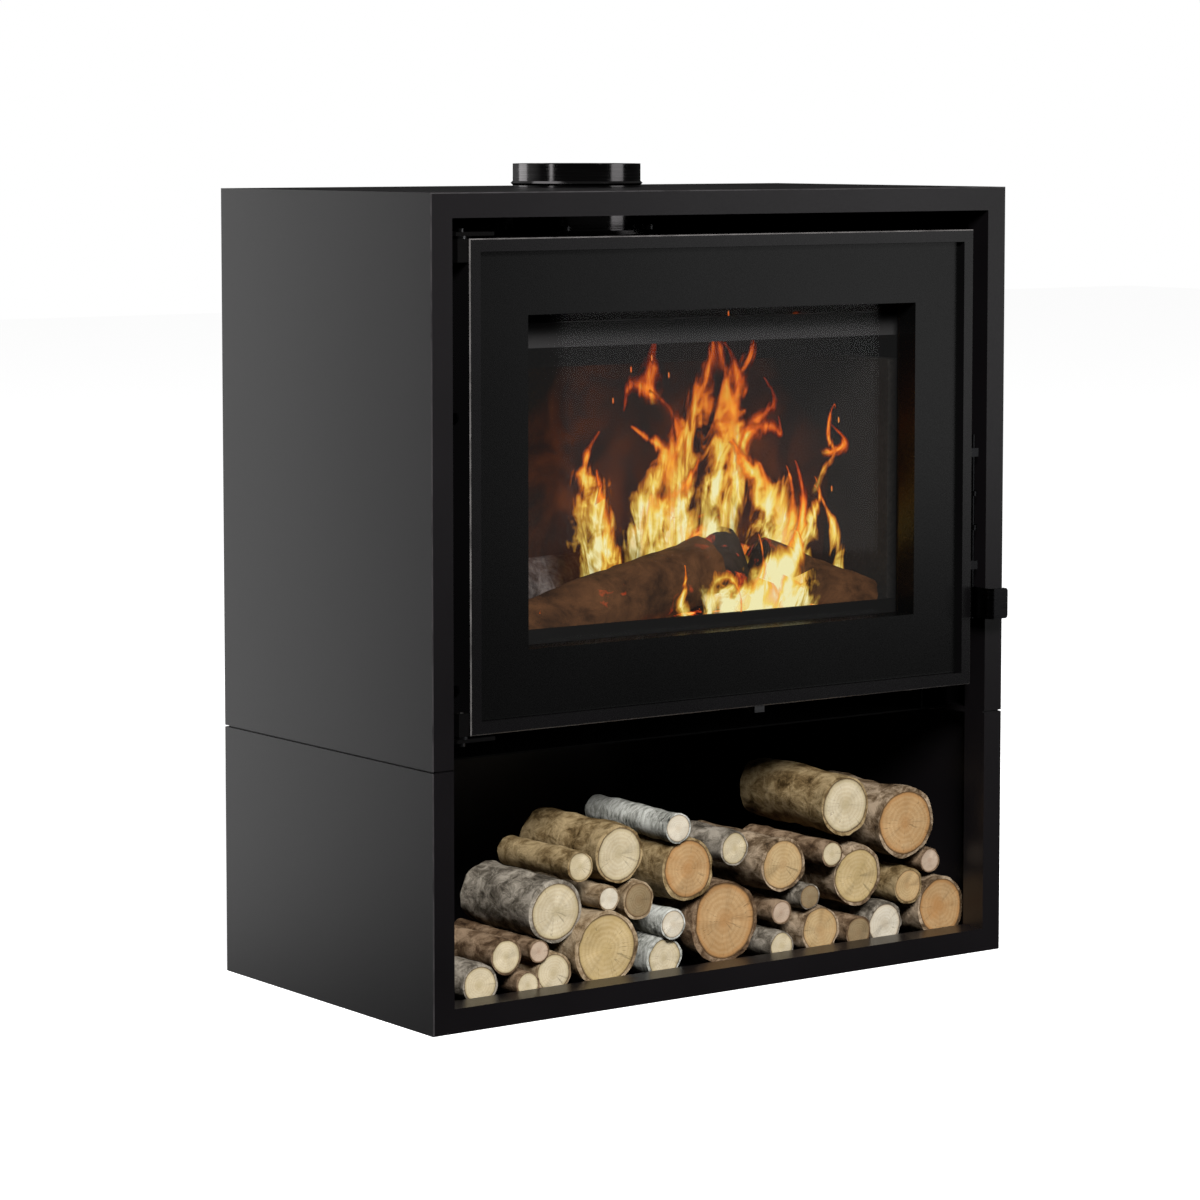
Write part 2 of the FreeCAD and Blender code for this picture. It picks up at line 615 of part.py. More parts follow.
def fire_bed():
    """Grate, ash pan, log retainer and air wash deflector."""
    rim = slab("grate_rim_plate", ("-grate_width / 2", "grate_front", FLOOR_TOP),
               ("grate_width / 2", "grate_back", f"{FLOOR_TOP} + grate_wall"))
    pitch, front, back = "(grate_bar + grate_slot)", "grate_front + grate_rim", "grate_back - grate_rim"
    slots = [
        slab(
            f"grate_slot{i}", (f"{i} * {pitch} - grate_slot / 2", front, f"{FLOOR_TOP} - overshoot"),
            (f"{i} * {pitch} + grate_slot / 2", back, f"{FLOOR_TOP} + grate_wall + overshoot"),
        )
        for i in range(-GRATE_SLOTS_EACH_SIDE, GRATE_SLOTS_EACH_SIDE + 1)
    ]
    keep(cut("grate", rim, group("grate_slots", slots)), "fire_grate")
    low = "(box_low + box_wall)"
    pan = slab("pan_outer", ("-ash_width / 2", "ash_front", low),
               ("ash_width / 2", "ash_back", f"{low} + ash_height"))
    hollow = slab(
        "pan_inner", ("-ash_width / 2 + ash_wall", "ash_front + ash_wall", f"{low} + ash_wall"),
        ("ash_width / 2 - ash_wall", "ash_back - ash_wall", f"{low} + ash_height + overshoot"),
    )
    keep(cut("pan", pan, hollow), "ash_pan")
    half = "(mouth_width / 2 + box_wall)"
    bar = slab("retainer", (f"-{half}", FRAME_BACK, "mouth_low - box_wall"),
               (half, f"{FRAME_BACK} + retainer_wall", "retainer_high"))
    keep(bar, "log_retainer")
    strip = slab("deflector_strip", (f"-{half}", FRAME_BACK, "deflector_low"),
                 (half, f"{FRAME_BACK} + deflector_wall", "deflector_high"))
    lip = slab(
        "deflector_top", (f"-{half}", FRAME_BACK, "deflector_high - deflector_wall"),
        (half, f"{FRAME_BACK} + deflector_lip", "deflector_high"),
    )
    keep(join("deflector", [strip, lip]), "air_wash_deflector")


def centring():
    """Angles on top of the insert, each with a bolt that steadies it against the case side."""
    x0, x1 = "(jacket_width / 2 - angle_wall)", "jacket_width / 2"
    y0, y1 = "centring_y - angle_width / 2", "centring_y + angle_width / 2"
    web = slab("angle_web", (x0, y0, "jacket_top"), (x1, y1, "centring_height + angle_margin"))
    leg = slab("angle_leg", ("jacket_width / 2 - angle_width", y0, "jacket_top"),
               (x1, y1, "jacket_top + angle_wall"))
    hole = rod("angle_hole", "bolt_radius + fit", "3 * angle_wall",
               (f"{x0} - angle_wall", "centring_y", "centring_height"), "X")
    angle = cut("angle", join("angle_bent", [web, leg]), hole)
    keep(group("angles", [angle, mirrored("angle_left", angle)]), "upper_centring_brackets")
    head = rod("centring_head", "bolt_head_radius", "bolt_head",
               (f"{x0} - bolt_head", "centring_y", "centring_height"), "X")
    stem = rod("centring_stem", "bolt_radius", "bolt_length", (x0, "centring_y", "centring_height"), "X")
    bolt = join("centring_bolt", [head, stem])
    keep(group("centring_bolt_set", [bolt, mirrored("centring_bolt_left", bolt)]), "centring_bolts")


# ---------------------------------------------------------------- flue


def flue_spigot():
    """The turned tube, with a bead that stops the flue pipe."""
    body = new_body("flue_spigot_body")
    sketch = sketch_on(body, "flue_profile", "YZ_Plane")
    outer, inner = "flue_radius", "flue_radius - flue_wall"
    profile = [
        (outer, "flue_low"), (outer, "bead_height - bead_radius"), (f"{outer} + bead_radius", "bead_height"),
        (outer, "bead_height + bead_radius"), (outer, "flue_top"), (inner, "flue_top"), (inner, "flue_low"),
    ]
    points = [FreeCAD.Vector(value(radius), value(height), 0) for radius, height in profile]
    count = len(points)
    for start, end in zip(points, points[1:] + points[:1]):
        sketch.addGeometry(Part.LineSegment(start, end))
    for i in range(count):
        sketch.addConstraint(Sketcher.Constraint("Coincident", i, 2, (i + 1) % count, 1))
    for i, (radius, height) in enumerate(profile):
        limit(sketch, f"radius{i}", radius, "DistanceX", -1, 1, i, 1)
        limit(sketch, f"height{i}", height, "DistanceY", -1, 1, i, 1)
    turned = body.newObject("PartDesign::Revolution", "flue_turned")
    turned.Profile = sketch
    turned.ReferenceAxis = (sketch, ["V_Axis"])
    turned.Angle = 360
    keep(place(body, "0", "flue_y", "0"), "flue_spigot")


def flue_flange():
    """The ring that carries the spigot, bolted down to the firebox."""
    below = "flange_low - flange_wall"
    tools, bolts = [rod("flange_bore", "flue_radius", "3 * flange_wall", ("0", "flue_y", below))], []
    for i in range(4):
        turn = math.pi / 4 + i * math.pi / 2
        x = f"flange_bolt_circle * {round(math.cos(turn), 6)}"
        y = f"flue_y + flange_bolt_circle * {round(math.sin(turn), 6)}"
        tools.append(rod(f"flange_hole{i}", "bolt_radius + fit", "3 * flange_wall", (x, y, below)))
        stem = rod(f"flange_stem{i}", "bolt_radius", "flange_top - box_top", (x, y, "box_top"))
        head = rod(f"flange_head{i}", "bolt_head_radius", "bolt_head", (x, y, "flange_top"))
        bolts.append(join(f"flange_bolt{i}", [stem, head]))
    ring = rod("flange_disc", "flange_radius", "flange_wall", ("0", "flue_y", "flange_low"))
    keep(cut("flange_ring", ring, group("flange_tools", tools)), "flue_flange")
    keep(group("flange_bolts", bolts), "flue_flange_bolts")


# ---------------------------------------------------------------- door


def door_shell():
    width = f"2 * {DOOR_SIDE}"
    inner_width = f"2 * ({DOOR_SIDE} - door_edge)"
    low, high = "door_low + door_edge", f"{DOOR_TOP} - door_edge"
    outside, inside = (width, "door_low", DOOR_TOP), (inner_width, low, high)
    frame = upright_plate("door_frame", FRONT, "door_depth", outside, [inside])
    chamfer_front(frame, "door_frame", FRONT, DOOR_SIDE, DOOR_TOP, "door_low")
    keep(frame, "door_outer_frame")
    clear = "panel_clearance"
    outline = (f"{inner_width} - 2 * {clear}", f"{low} + {clear}", f"{high} - {clear}")
    window = ("window_width", "window_low", "window_high")
    panel = upright_plate("door_panel", PANEL_FACE, "panel_wall", outline, [window])
    reveal = sketch_on(panel, "reveal_sketch", "XZ_Plane", f"-{PANEL_FACE}")
    grown = ("window_width + 2 * panel_wall", "window_low - panel_wall", "window_high + panel_wall")
    rectangle(reveal, "outer", *grown)
    rectangle(reveal, "inner", *window)
    pad(panel, reveal, "reveal_pad", "door_depth - panel_recess - door_plate", backwards=True)
    keep(panel, "door_front_panel")
    plate = upright_plate("back_plate", f"({DOOR_BACK} - door_plate)", "door_plate", outline, [window])
    keep(plate, "door_back_plate")


def glazing():
    low, high = "window_low - glass_overlap", "window_high + glass_overlap"
    glass = upright_plate("glass", GLASS_FACE, "glass_wall", ("window_width + 2 * glass_overlap", low, high))
    keep(glass, "door_glass")
    width = "window_width + 2 * glass_overlap"
    inside = (f"{width} - 2 * gasket_width", f"{low} + gasket_width", f"{high} - gasket_width")
    gasket = upright_plate("gasket", DOOR_BACK, "gasket_wall", (width, low, high), [inside])
    keep(gasket, "glass_gasket")
    margin = "(glass_overlap + rope_margin)"
    inner = (f"window_width + 2 * {margin}", f"window_low - {margin}", f"window_high + {margin}")
    rope = upright_plate(
        "rope", DOOR_BACK, "rope_size",
        (f"{inner[0]} + 2 * rope_size", f"{inner[1]} - rope_size", f"{inner[2]} + rope_size"), [inner],
    )
    keep(rope, "door_seal_rope")


def glass_clip(tag, x, edge, way):
    """A cranked clip with its screw. The glass edge is above the clip for -1 and below it for +1."""
    x0, x1 = f"{x} - clip_width / 2", f"{x} + clip_width / 2"
    near, far = f"{edge} + {way} * clip_clearance", f"{edge} + {way} * (clip_clearance + clip_foot)"
    foot_low, foot_high = sorted([near, far], key=value)
    tab_low, tab_high = sorted([f"{edge} - {way} * clip_foot", far], key=value)
    back = f"{GLASS_BACK} + clip_wall"
    foot = slab(f"clip_foot{tag}", (x0, DOOR_BACK, foot_low), (x1, back, foot_high))
    tab = slab(f"clip_tab{tag}", (x0, GLASS_BACK, tab_low), (x1, back, tab_high))
    height = f"{edge} + {way} * (clip_clearance + clip_foot / 2)"
    length = "gasket_wall + glass_wall + clip_wall"
    bore = rod(f"clip_bore{tag}", "screw_radius / 2 + fit", f"{length} + 2 * overshoot",
               (x, f"{DOOR_BACK} - overshoot", height), "Y")
    stem = rod(f"clip_stem{tag}", "screw_radius / 2", length, (x, DOOR_BACK, height), "Y")
    head = rod(f"clip_head{tag}", "screw_radius", "screw_radius / 2", (x, back, height), "Y")
    clip = cut(f"clip{tag}", join(f"clip_bent{tag}", [foot, tab]), bore)
    return clip, join(f"clip_screw{tag}", [stem, head])


def glass_clips():
    """Clips that hold the glass to the back plate, three along the top and three along the bottom."""
    edges = {1: "(window_high + glass_overlap)", -1: "(window_low - glass_overlap)"}
    pairs = [
        glass_clip(f"{column}_{row}", f"{column - 1} * clip_pitch", edge, way)
        for column in range(3) for row, (way, edge) in enumerate(edges.items())
    ]
    clips, screws = zip(*pairs)
    keep(group("clips", clips), "glass_clips")
    keep(group("clip_screws", screws), "glass_clip_screws")


def side_screws():
    heads = []
    for i, height in enumerate(("door_low + side_screw_foot", "door_low + side_screw_head")):
        at = (f"-{DOOR_SIDE} - side_screw_height", f"{FRONT} + side_screw_depth", height)
        heads.append(rod(f"side_screw{i}", "side_screw_radius", "side_screw_height", at, "X"))
    keep(group("side_screws", heads), "door_side_screws")


# ---------------------------------------------------------------- hinges


def hinge(tag, lug_low, plate_low, leg, washer_low, pin):
    """One hinge: the door's lug, the bracket on the firebox frame and its pin. Returns the washer."""
    x0, y0 = f"{HINGE_X} - hinge_out", f"({HINGE_Y} - lug_front)"
    lug = slab(f"{tag}_block", (x0, y0, lug_low),
               (f"-{DOOR_SIDE}", f"{y0} + lug_depth", f"{lug_low} + lug_height"))
    bore = rod(f"{tag}_bore", "pin_radius + running_clearance", "lug_height + 2 * overshoot",
               (HINGE_X, HINGE_Y, f"{lug_low} - overshoot"))
    keep(cut(f"{tag}_lug", lug, bore), f"{tag}_hinge_lug")
    x1 = f"{HINGE_X} + bracket_reach"
    plate = slab(f"{tag}_plate", (f"{x0} - bracket_overhang", y0, plate_low),
                 (x1, FRAME_FACE, f"{plate_low} + bracket_wall"))
    upright = slab(f"{tag}_leg", (f"{x1} - bracket_leg_width", f"{FRAME_FACE} - angle_wall", leg[0]),
                   (x1, FRAME_FACE, leg[1]))
    eye = rod(f"{tag}_eye", "pin_radius", "3 * bracket_wall",
              (HINGE_X, HINGE_Y, f"{plate_low} - bracket_wall"))
    keep(cut(f"{tag}_bracket", join(f"{tag}_bent", [plate, upright]), eye), f"{tag}_hinge_bracket")
    height = f"({pin[1]}) - ({pin[0]})"
    keep(rod(f"{tag}_pin", "pin_radius", height, (HINGE_X, HINGE_Y, pin[0])), f"{tag}_hinge_pin")
    ring = rod(f"{tag}_disc", "washer_radius", "bracket_gap", (HINGE_X, HINGE_Y, washer_low))
    hole = rod(f"{tag}_disc_bore", "pin_radius + fit", "3 * bracket_gap",
               (HINGE_X, HINGE_Y, f"{washer_low} - bracket_gap"))
    return cut(f"{tag}_washer", ring, hole)


def hinges():
    below = "(door_low - bracket_gap)"
    lower = hinge(
        "lower", "door_low", f"{below} - bracket_wall", (below, f"{below} + bracket_leg"), below,
        (f"{below} - bracket_wall - pin_head", "door_low + lug_height - pin_set_in"),
    )
    above = f"({DOOR_TOP} + bracket_gap)"
    upper = hinge(
        "upper", f"{DOOR_TOP} - lug_height", above, (f"{above} - bracket_leg", above), DOOR_TOP,
        (f"{DOOR_TOP} - lug_height + pin_set_in", f"{above} + bracket_wall + pin_head"),
    )
    keep(group("washers", [lower, upper]), "hinge_washers")


# ---------------------------------------------------------------- latch


def latch_hook(tag, height):
    """A hook on the latch shaft, drawn released. It turns to the left to pass behind the keeper."""
    hub = rod(f"hook_hub{tag}", "hook_hub", "hook_wall", ("0", "0", "0"))
    arm = slab(f"hook_arm{tag}", ("-hook_arm / 2", "0", "0"), ("hook_arm / 2", "hook_reach", "hook_wall"))
    toe = slab(f"hook_toe{tag}", ("-hook_toe", "hook_reach - hook_toe_wall", "0"),
               ("hook_arm / 2", "hook_reach", "hook_wall"))
    eye = rod(f"hook_eye{tag}", "pin_radius", "3 * hook_wall", ("0", "0", "-hook_wall"))
    hook = cut(f"hook{tag}", join(f"hook_blank{tag}", [hub, arm, toe]), eye)
    return place(hook, LATCH_X, LATCH_Y, height, (0, 0, 1), -LATCH_REST_DEGREES)


def latch():
    blocks = []
    for i, low in enumerate(("bearing_low", "(bearing_low + bearing_pitch)")):
        block = slab(
            f"bearing_block{i}", (DOOR_SIDE, f"{LATCH_Y} - bearing_depth / 2", low),
            (f"{DOOR_SIDE} + bearing_reach", f"{LATCH_Y} + bearing_depth / 2", f"{low} + bearing_height"),
        )
        bore = rod(f"bearing_bore{i}", "pin_radius + running_clearance", "bearing_height + 2 * overshoot",
                   (LATCH_X, LATCH_Y, f"{low} - overshoot"))
        blocks.append(cut(f"bearing{i}", block, bore))
    keep(group("bearings", blocks), "latch_bearing_blocks")
    hooks = [latch_hook(0, "hook_low"), latch_hook(1, "hook_low + hook_pitch")]
    keep(group("hooks", hooks), "latch_hooks")
    keep(rod("shaft_bar", "pin_radius", "latch_length", (LATCH_X, LATCH_Y, "latch_low")), "latch_shaft")
    keeper = slab(
        "keeper", ("jacket_width / 2 - keeper_foot", f"{FRAME_FACE} - keeper_wall", "hook_low - hook_wall"),
        (DOOR_SIDE, FRAME_FACE, "hook_low + hook_pitch + 2 * hook_wall"),
    )
    keep(keeper, "latch_keeper")


def handle():
    """A bent plate: a hub on the latch shaft, a neck through the gap, a bend and a grip to the right."""
    low, high, tall = "handle_low", "handle_low + handle_height", "handle_height"
    half, outer = "handle_wall / 2", "(handle_bend + handle_wall)"
    tip_y = f"({LATCH_Y} - handle_forward)"
    bend_x, bend_y = f"({LATCH_X} + {half} + handle_bend)", f"({tip_y} + {outer})"
    through = (f"{tall} + 2 * overshoot", f"{low} - overshoot")
    hub = rod("handle_hub_rod", "pin_radius + handle_hub", tall, (LATCH_X, LATCH_Y, low))
    neck = slab("handle_neck", (f"{LATCH_X} - {half}", bend_y, low), (f"{LATCH_X} + {half}", LATCH_Y, high))
    ring = cut(
        "handle_ring", rod("bend_outer", outer, tall, (bend_x, bend_y, low)),
        rod("bend_inner", "handle_bend", through[0], (bend_x, bend_y, through[1])),
    )
    corner = slab("bend_corner", (f"{bend_x} - {outer}", f"{bend_y} - {outer}", low), (bend_x, bend_y, high))
    quarter = doc.addObject("Part::Common", "handle_quarter")
    quarter.Base, quarter.Tool = ring, corner
    grip_end = f"{LATCH_X} + handle_reach"
    grip = slab("handle_grip", (bend_x, tip_y, low), (grip_end, f"{tip_y} + handle_wall", high))
    eye = rod("handle_eye", "pin_radius", through[0], (LATCH_X, LATCH_Y, through[1]))
    plain = cut("handle_plain", join("handle_blank", [hub, neck, quarter, grip]), eye)
    doc.recompute()
    end_x, radius = value(grip_end), value("handle_round")
    rounded = doc.addObject("Part::Fillet", "handle_rounded")
    rounded.Base = plain
    rounded.Edges = [
        (number, radius, radius) for number, edge in enumerate(plain.Shape.Edges, start=1)
        if len(edge.Vertexes) == 2 and all(abs(v.Point.x - end_x) < SAME_PLACE for v in edge.Vertexes)
        and abs(edge.Vertexes[0].Point.z - edge.Vertexes[1].Point.z) < SAME_PLACE
    ]
    keep(rounded, "door_handle")


# ---------------------------------------------------------------- air control


def air_housing():
    """The box under the firebox that feeds air to its inlet."""
    x = "air_width / 2"
    shell = slab("air_outer", (f"-{x}", "air_front", "air_low"), (x, "air_back", "box_low"))
    hollow = slab("air_inner", (f"-{x} + air_wall", "air_front + air_wall", "air_low + air_wall"),
                  (f"{x} - air_wall", "air_back - air_wall", "box_low + overshoot"))
    margin = "slide_margin + support_inset"
    port = slab("air_port", ("-slide_width / 3", f"air_front + {margin}", "air_low - overshoot"),
                ("slide_width / 3", f"air_back - ({margin})", "air_low + air_wall + overshoot"))
    keep(cut("air_housing", shell, group("air_tools", [hollow, port])), "air_control_housing")


def air_slide(bottom, top, front, back):
    """The sliding plate with its lever, and the knob on the lever's end."""
    tip = f"({FRONT} + knob_set_back + knob_depth)"
    plate = slab("slide_plate", ("-slide_width / 2", front, bottom), ("slide_width / 2", back, top))
    lever = slab("slide_lever", ("lever_x - lever_width / 2", tip, bottom),
                 ("lever_x + lever_width / 2", f"{front} + slide_lap", top))
    keep(join("air_slide_plate", [plate, lever]), "air_slide")
    knob_low = f"(({bottom} + {top} - knob_height) / 2)"
    knob = slab("knob", ("lever_x - knob_width / 2", f"{tip} - knob_depth", knob_low),
                ("lever_x + knob_width / 2", tip, f"{knob_low} + knob_height"))
    keep(knob, "air_lever_knob")


def air_guide(tag, x0, x1, edge, way, low):
    """An angle strip that carries one edge of the slide. Its upright stands on the way side of the edge."""
    inner, outer = f"{edge} + {way} * air_clearance", f"{edge} + {way} * (air_clearance + guide_wall)"
    web_front, web_back = sorted([inner, outer], key=value)
    lip_front, lip_back = sorted([f"{edge} - {way} * guide_lip", outer], key=value)
    upright = slab(f"guide_web_{tag}", (x0, web_front, low), (x1, web_back, "air_low"))
    ledge = slab(f"guide_lip_{tag}", (x0, lip_front, low), (x1, lip_back, f"{low} + guide_wall"))
    return join(f"guide_{tag}", [upright, ledge])


def air_control():
    air_housing()
    top = "(air_low - air_clearance)"
    bottom = f"({top} - slide_wall)"
    front, back = "(air_front + slide_margin)", "(air_back - slide_margin)"
    air_slide(bottom, top, front, back)
    low = f"({bottom} - air_clearance - guide_wall)"
    x, reach = "air_width / 2", "(lever_travel + lever_width / 2 + lever_margin)"
    guides = [
        air_guide("back", f"-{x}", x, back, 1, low),
        air_guide("front_left", f"-{x}", f"lever_x - {reach}", front, -1, low),
        air_guide("front_right", f"lever_x + {reach}", x, front, -1, low),
    ]
    keep(group("guides", guides), "air_slide_guides")


def check():
    """Stops the build if an object failed or a finished piece isn't whole."""
    for thing in doc.Objects:
        if {"Invalid", "Error"} & set(thing.State):
            raise RuntimeError(f"{thing.Name} failed: {thing.State}")
    for thing in nodes:
        shape = thing.Shape
        if shape.isNull() or not shape.isValid() or not shape.Solids:
            raise RuntimeError(f"{thing.Label} has no valid solid")


def write():
    os.makedirs("parts", exist_ok=True)
    for thing in nodes:
        thing.Shape.exportStep(f"parts/{thing.Label}.step")


fill_sheet()
upper_case()
lower_case()
back_panels()
log_tray()
levelling_feet()
case_bolts()
support_rail()
casings()
front_frame()
lining()
fire_bed()
centring()
flue_spigot()
flue_flange()
door_shell()
glazing()
glass_clips()
side_screws()
hinges()
latch()
handle()
air_control()
doc.recompute()
check()
write()
print(len(nodes), "pieces written")
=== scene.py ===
"""Looks for the wood burning stove: paint, glass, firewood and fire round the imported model. Metres, +Z up."""

import json
import math
import random

import bmesh
import bpy
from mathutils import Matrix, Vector


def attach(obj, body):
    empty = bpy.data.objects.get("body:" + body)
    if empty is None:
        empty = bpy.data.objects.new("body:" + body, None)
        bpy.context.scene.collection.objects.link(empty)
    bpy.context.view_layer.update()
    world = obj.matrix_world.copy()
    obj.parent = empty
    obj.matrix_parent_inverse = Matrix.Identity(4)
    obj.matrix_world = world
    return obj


# Light levels.
FLOOR_GLOW, BACK_GLOW, DIM_LOW, DIM_HIGH = 0.9, 0.35, 0.01, 0.06
FRONT_POWER, LEFT_POWER, RIGHT_POWER, TOP_POWER, STRIP_POWER = 610, 8.0, 6.0, 5, 1.1

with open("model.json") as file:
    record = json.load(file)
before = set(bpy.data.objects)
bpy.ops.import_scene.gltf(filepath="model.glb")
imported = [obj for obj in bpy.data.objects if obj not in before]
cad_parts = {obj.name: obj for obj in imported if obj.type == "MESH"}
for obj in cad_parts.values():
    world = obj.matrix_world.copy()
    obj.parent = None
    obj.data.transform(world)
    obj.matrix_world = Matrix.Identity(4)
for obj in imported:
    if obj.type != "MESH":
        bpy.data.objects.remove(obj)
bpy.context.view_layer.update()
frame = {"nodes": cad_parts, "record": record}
scene = bpy.context.scene
nodes = frame["nodes"]


# ---------------------------------------------------------------- nodes and materials


def new_material(name):
    """A node material with its Principled shader and its Object coordinates."""
    material = bpy.data.materials.new(name)
    material.use_nodes = True
    tree = material.node_tree
    shader = tree.nodes["Principled BSDF"]
    place = tree.nodes.new("ShaderNodeTexCoord")
    return material, tree, shader, place.outputs["Object"]


def stretched(tree, source, scale):
    """Coordinates scaled by a different amount each way."""
    mapping = tree.nodes.new("ShaderNodeMapping")
    mapping.inputs["Scale"].default_value = scale
    tree.links.new(source, mapping.inputs["Vector"])
    return mapping.outputs["Vector"]


def noise(tree, source, scale, detail=4, roughness=0.5, distortion=0):
    """Cloudy noise from zero to one."""
    texture = tree.nodes.new("ShaderNodeTexNoise")
    texture.inputs["Scale"].default_value = scale
    texture.inputs["Detail"].default_value = detail
    texture.inputs["Roughness"].default_value = roughness
    texture.inputs["Distortion"].default_value = distortion
    tree.links.new(source, texture.inputs["Vector"])
    return texture.outputs["Fac"]


def spread(tree, source, low, high, to_low=0, to_high=1):
    """Stretches a value from one range to another."""
    node = tree.nodes.new("ShaderNodeMapRange")
    for socket, number in (("From Min", low), ("From Max", high), ("To Min", to_low), ("To Max", to_high)):
        node.inputs[socket].default_value = number
    tree.links.new(source, node.inputs["Value"])
    return node.outputs["Result"]


def ramp(tree, source, stops):
    """A colour ramp from a list of (place, colour)."""
    node = tree.nodes.new("ShaderNodeValToRGB")
    while len(node.color_ramp.elements) < len(stops):
        node.color_ramp.elements.new(0.5)
    for element, (at, colour) in zip(node.color_ramp.elements, stops):
        element.position = at
        element.color = (*colour, 1)
    tree.links.new(source, node.inputs["Fac"])
    return node.outputs["Color"]


def mixed(tree, share, first, second):
    """Two colours mixed. Each is a socket or a plain colour, and so is the share or a number."""
    node = tree.nodes.new("ShaderNodeMix")
    node.data_type = "RGBA"
    for index, given in ((0, share), (6, first), (7, second)):
        if isinstance(given, bpy.types.NodeSocket):
            tree.links.new(given, node.inputs[index])
        elif index:
            node.inputs[index].default_value = (*given, 1)
        else:
            node.inputs[index].default_value = given
    return node.outputs[2]


def math_step(tree, kind, first, second=0):
    """One math step on sockets or numbers."""
    node = tree.nodes.new("ShaderNodeMath")
    node.operation = kind
    for index, given in enumerate((first, second)):
        if isinstance(given, bpy.types.NodeSocket):
            tree.links.new(given, node.inputs[index])
        else:
            node.inputs[index].default_value = given
    return node.outputs[0]


def plus(tree, first, second):
    """The sum of two sockets or numbers."""
    return math_step(tree, "ADD", first, second)


def minus(tree, first, second):
    """The first less the second."""
    return math_step(tree, "SUBTRACT", first, second)


def times(tree, first, second):
    """The product of two sockets or numbers."""
    return math_step(tree, "MULTIPLY", first, second)


def bumped(tree, shader, height, strength, distance):
    """Makes a shader look dented by a height."""
    bump = tree.nodes.new("ShaderNodeBump")
    bump.inputs["Strength"].default_value = strength
    bump.inputs["Distance"].default_value = distance
    tree.links.new(height, bump.inputs["Height"])
    tree.links.new(bump.outputs["Normal"], shader.inputs["Normal"])


def painted_highlight_mask(tree, place):
    """Where painted highlights go: zero on faces square to the axes, and up to one in patches where a face
    slants, as a chamfer does.
    """
    way = tree.nodes.new("ShaderNodeTexCoord").outputs["Normal"]
    parts = tree.nodes.new("ShaderNodeSeparateXYZ")
    tree.links.new(way, parts.inputs["Vector"])
    x, y, z = (math_step(tree, "ABSOLUTE", parts.outputs[letter]) for letter in "XYZ")
    slant = spread(tree, math_step(tree, "MAXIMUM", x, math_step(tree, "MAXIMUM", y, z)), 0.92, 0.97, 1, 0)
    return times(tree, slant, spread(tree, noise(tree, place, 45, 3), 0.3, 0.6, 0.45, 1))


# How far the cloudy changes take paint from its middle tone, as a share.
UNEVEN = 0.25


def painted(name, colour, roughness, grain=900, bump=0.12, gloss=0.35, highlight_colour=None):
    """Stove paint: a fine orange-peel grain with faint cloudy changes in tone and gloss, and painted
    highlights: a lighter colour on chamfered edges.
    """
    material, tree, shader, place = new_material(name)
    cloud = noise(tree, place, 3.5, 3)
    light = tuple(min(1, c * (1 + UNEVEN)) for c in colour)
    dark = tuple(c * (1 - UNEVEN) for c in colour)
    tone = ramp(tree, cloud, [(0.3, dark), (0.7, light)])
    # Painted highlight: a lighter colour on the chamfers stands in for light catching the edges.
    if highlight_colour:
        tone = mixed(tree, painted_highlight_mask(tree, place), tone, highlight_colour)
    tree.links.new(tone, shader.inputs["Base Color"])
    fine = noise(tree, place, grain, 2)
    sheen = spread(tree, fine, 0.3, 0.7, roughness - 0.04, roughness + 0.05)
    tree.links.new(sheen, shader.inputs["Roughness"])
    bumped(tree, shader, fine, bump, 0.0002)
    shader.inputs["Specular IOR Level"].default_value = gloss
    return material


def steel(name, colour, roughness):
    """Bare steel with fine drawn lines."""
    material, tree, shader, place = new_material(name)
    lines = noise(tree, stretched(tree, place, (1, 1, 40)), 60, 3)
    dark = tuple(c * 0.75 for c in colour)
    tree.links.new(ramp(tree, lines, [(0.35, dark), (0.65, colour)]), shader.inputs["Base Color"])
    sheen = spread(tree, lines, 0.3, 0.7, roughness - 0.06, roughness + 0.08)
    tree.links.new(sheen, shader.inputs["Roughness"])
    shader.inputs["Metallic"].default_value = 1
    return material


def rolled(name, colour, roughness):
    """Dark bright-rolled sheet, with faint lines round it."""
    material, tree, shader, place = new_material(name)
    lines = noise(tree, stretched(tree, place, (2, 2, 60)), 12, 3)
    dark = tuple(c * 0.7 for c in colour)
    tree.links.new(ramp(tree, lines, [(0.35, dark), (0.65, colour)]), shader.inputs["Base Color"])
    sheen = spread(tree, lines, 0.3, 0.7, roughness - 0.03, roughness + 0.05)
    tree.links.new(sheen, shader.inputs["Roughness"])
    shader.inputs["Metallic"].default_value = 1
    bumped(tree, shader, lines, 0.06, 0.0003)
    return material


def clear_glass():
    """The clear ceramic pane of the door."""
    material, _, shader, _ = new_material("ceramic_glass")
    shader.inputs["Base Color"].default_value = (0.02, 0.02, 0.02, 1)
    shader.inputs["Roughness"].default_value = 0.04
    shader.inputs["Alpha"].default_value = 0.12
    return material


def fibre(name):
    """Braided rope: fine wavy bands for its strands."""
    material, tree, shader, place = new_material(name)
    wave = tree.nodes.new("ShaderNodeTexWave")
    wave.inputs["Scale"].default_value = 90
    wave.inputs["Distortion"].default_value = 2
    tree.links.new(place, wave.inputs["Vector"])
    colours = ramp(tree, wave.outputs["Fac"], [(0.2, (0.03, 0.03, 0.03)), (0.8, (0.12, 0.12, 0.11))])
    tree.links.new(colours, shader.inputs["Base Color"])
    shader.inputs["Roughness"].default_value = 0.95
    bumped(tree, shader, wave.outputs["Fac"], 0.6, 0.001)
    return material


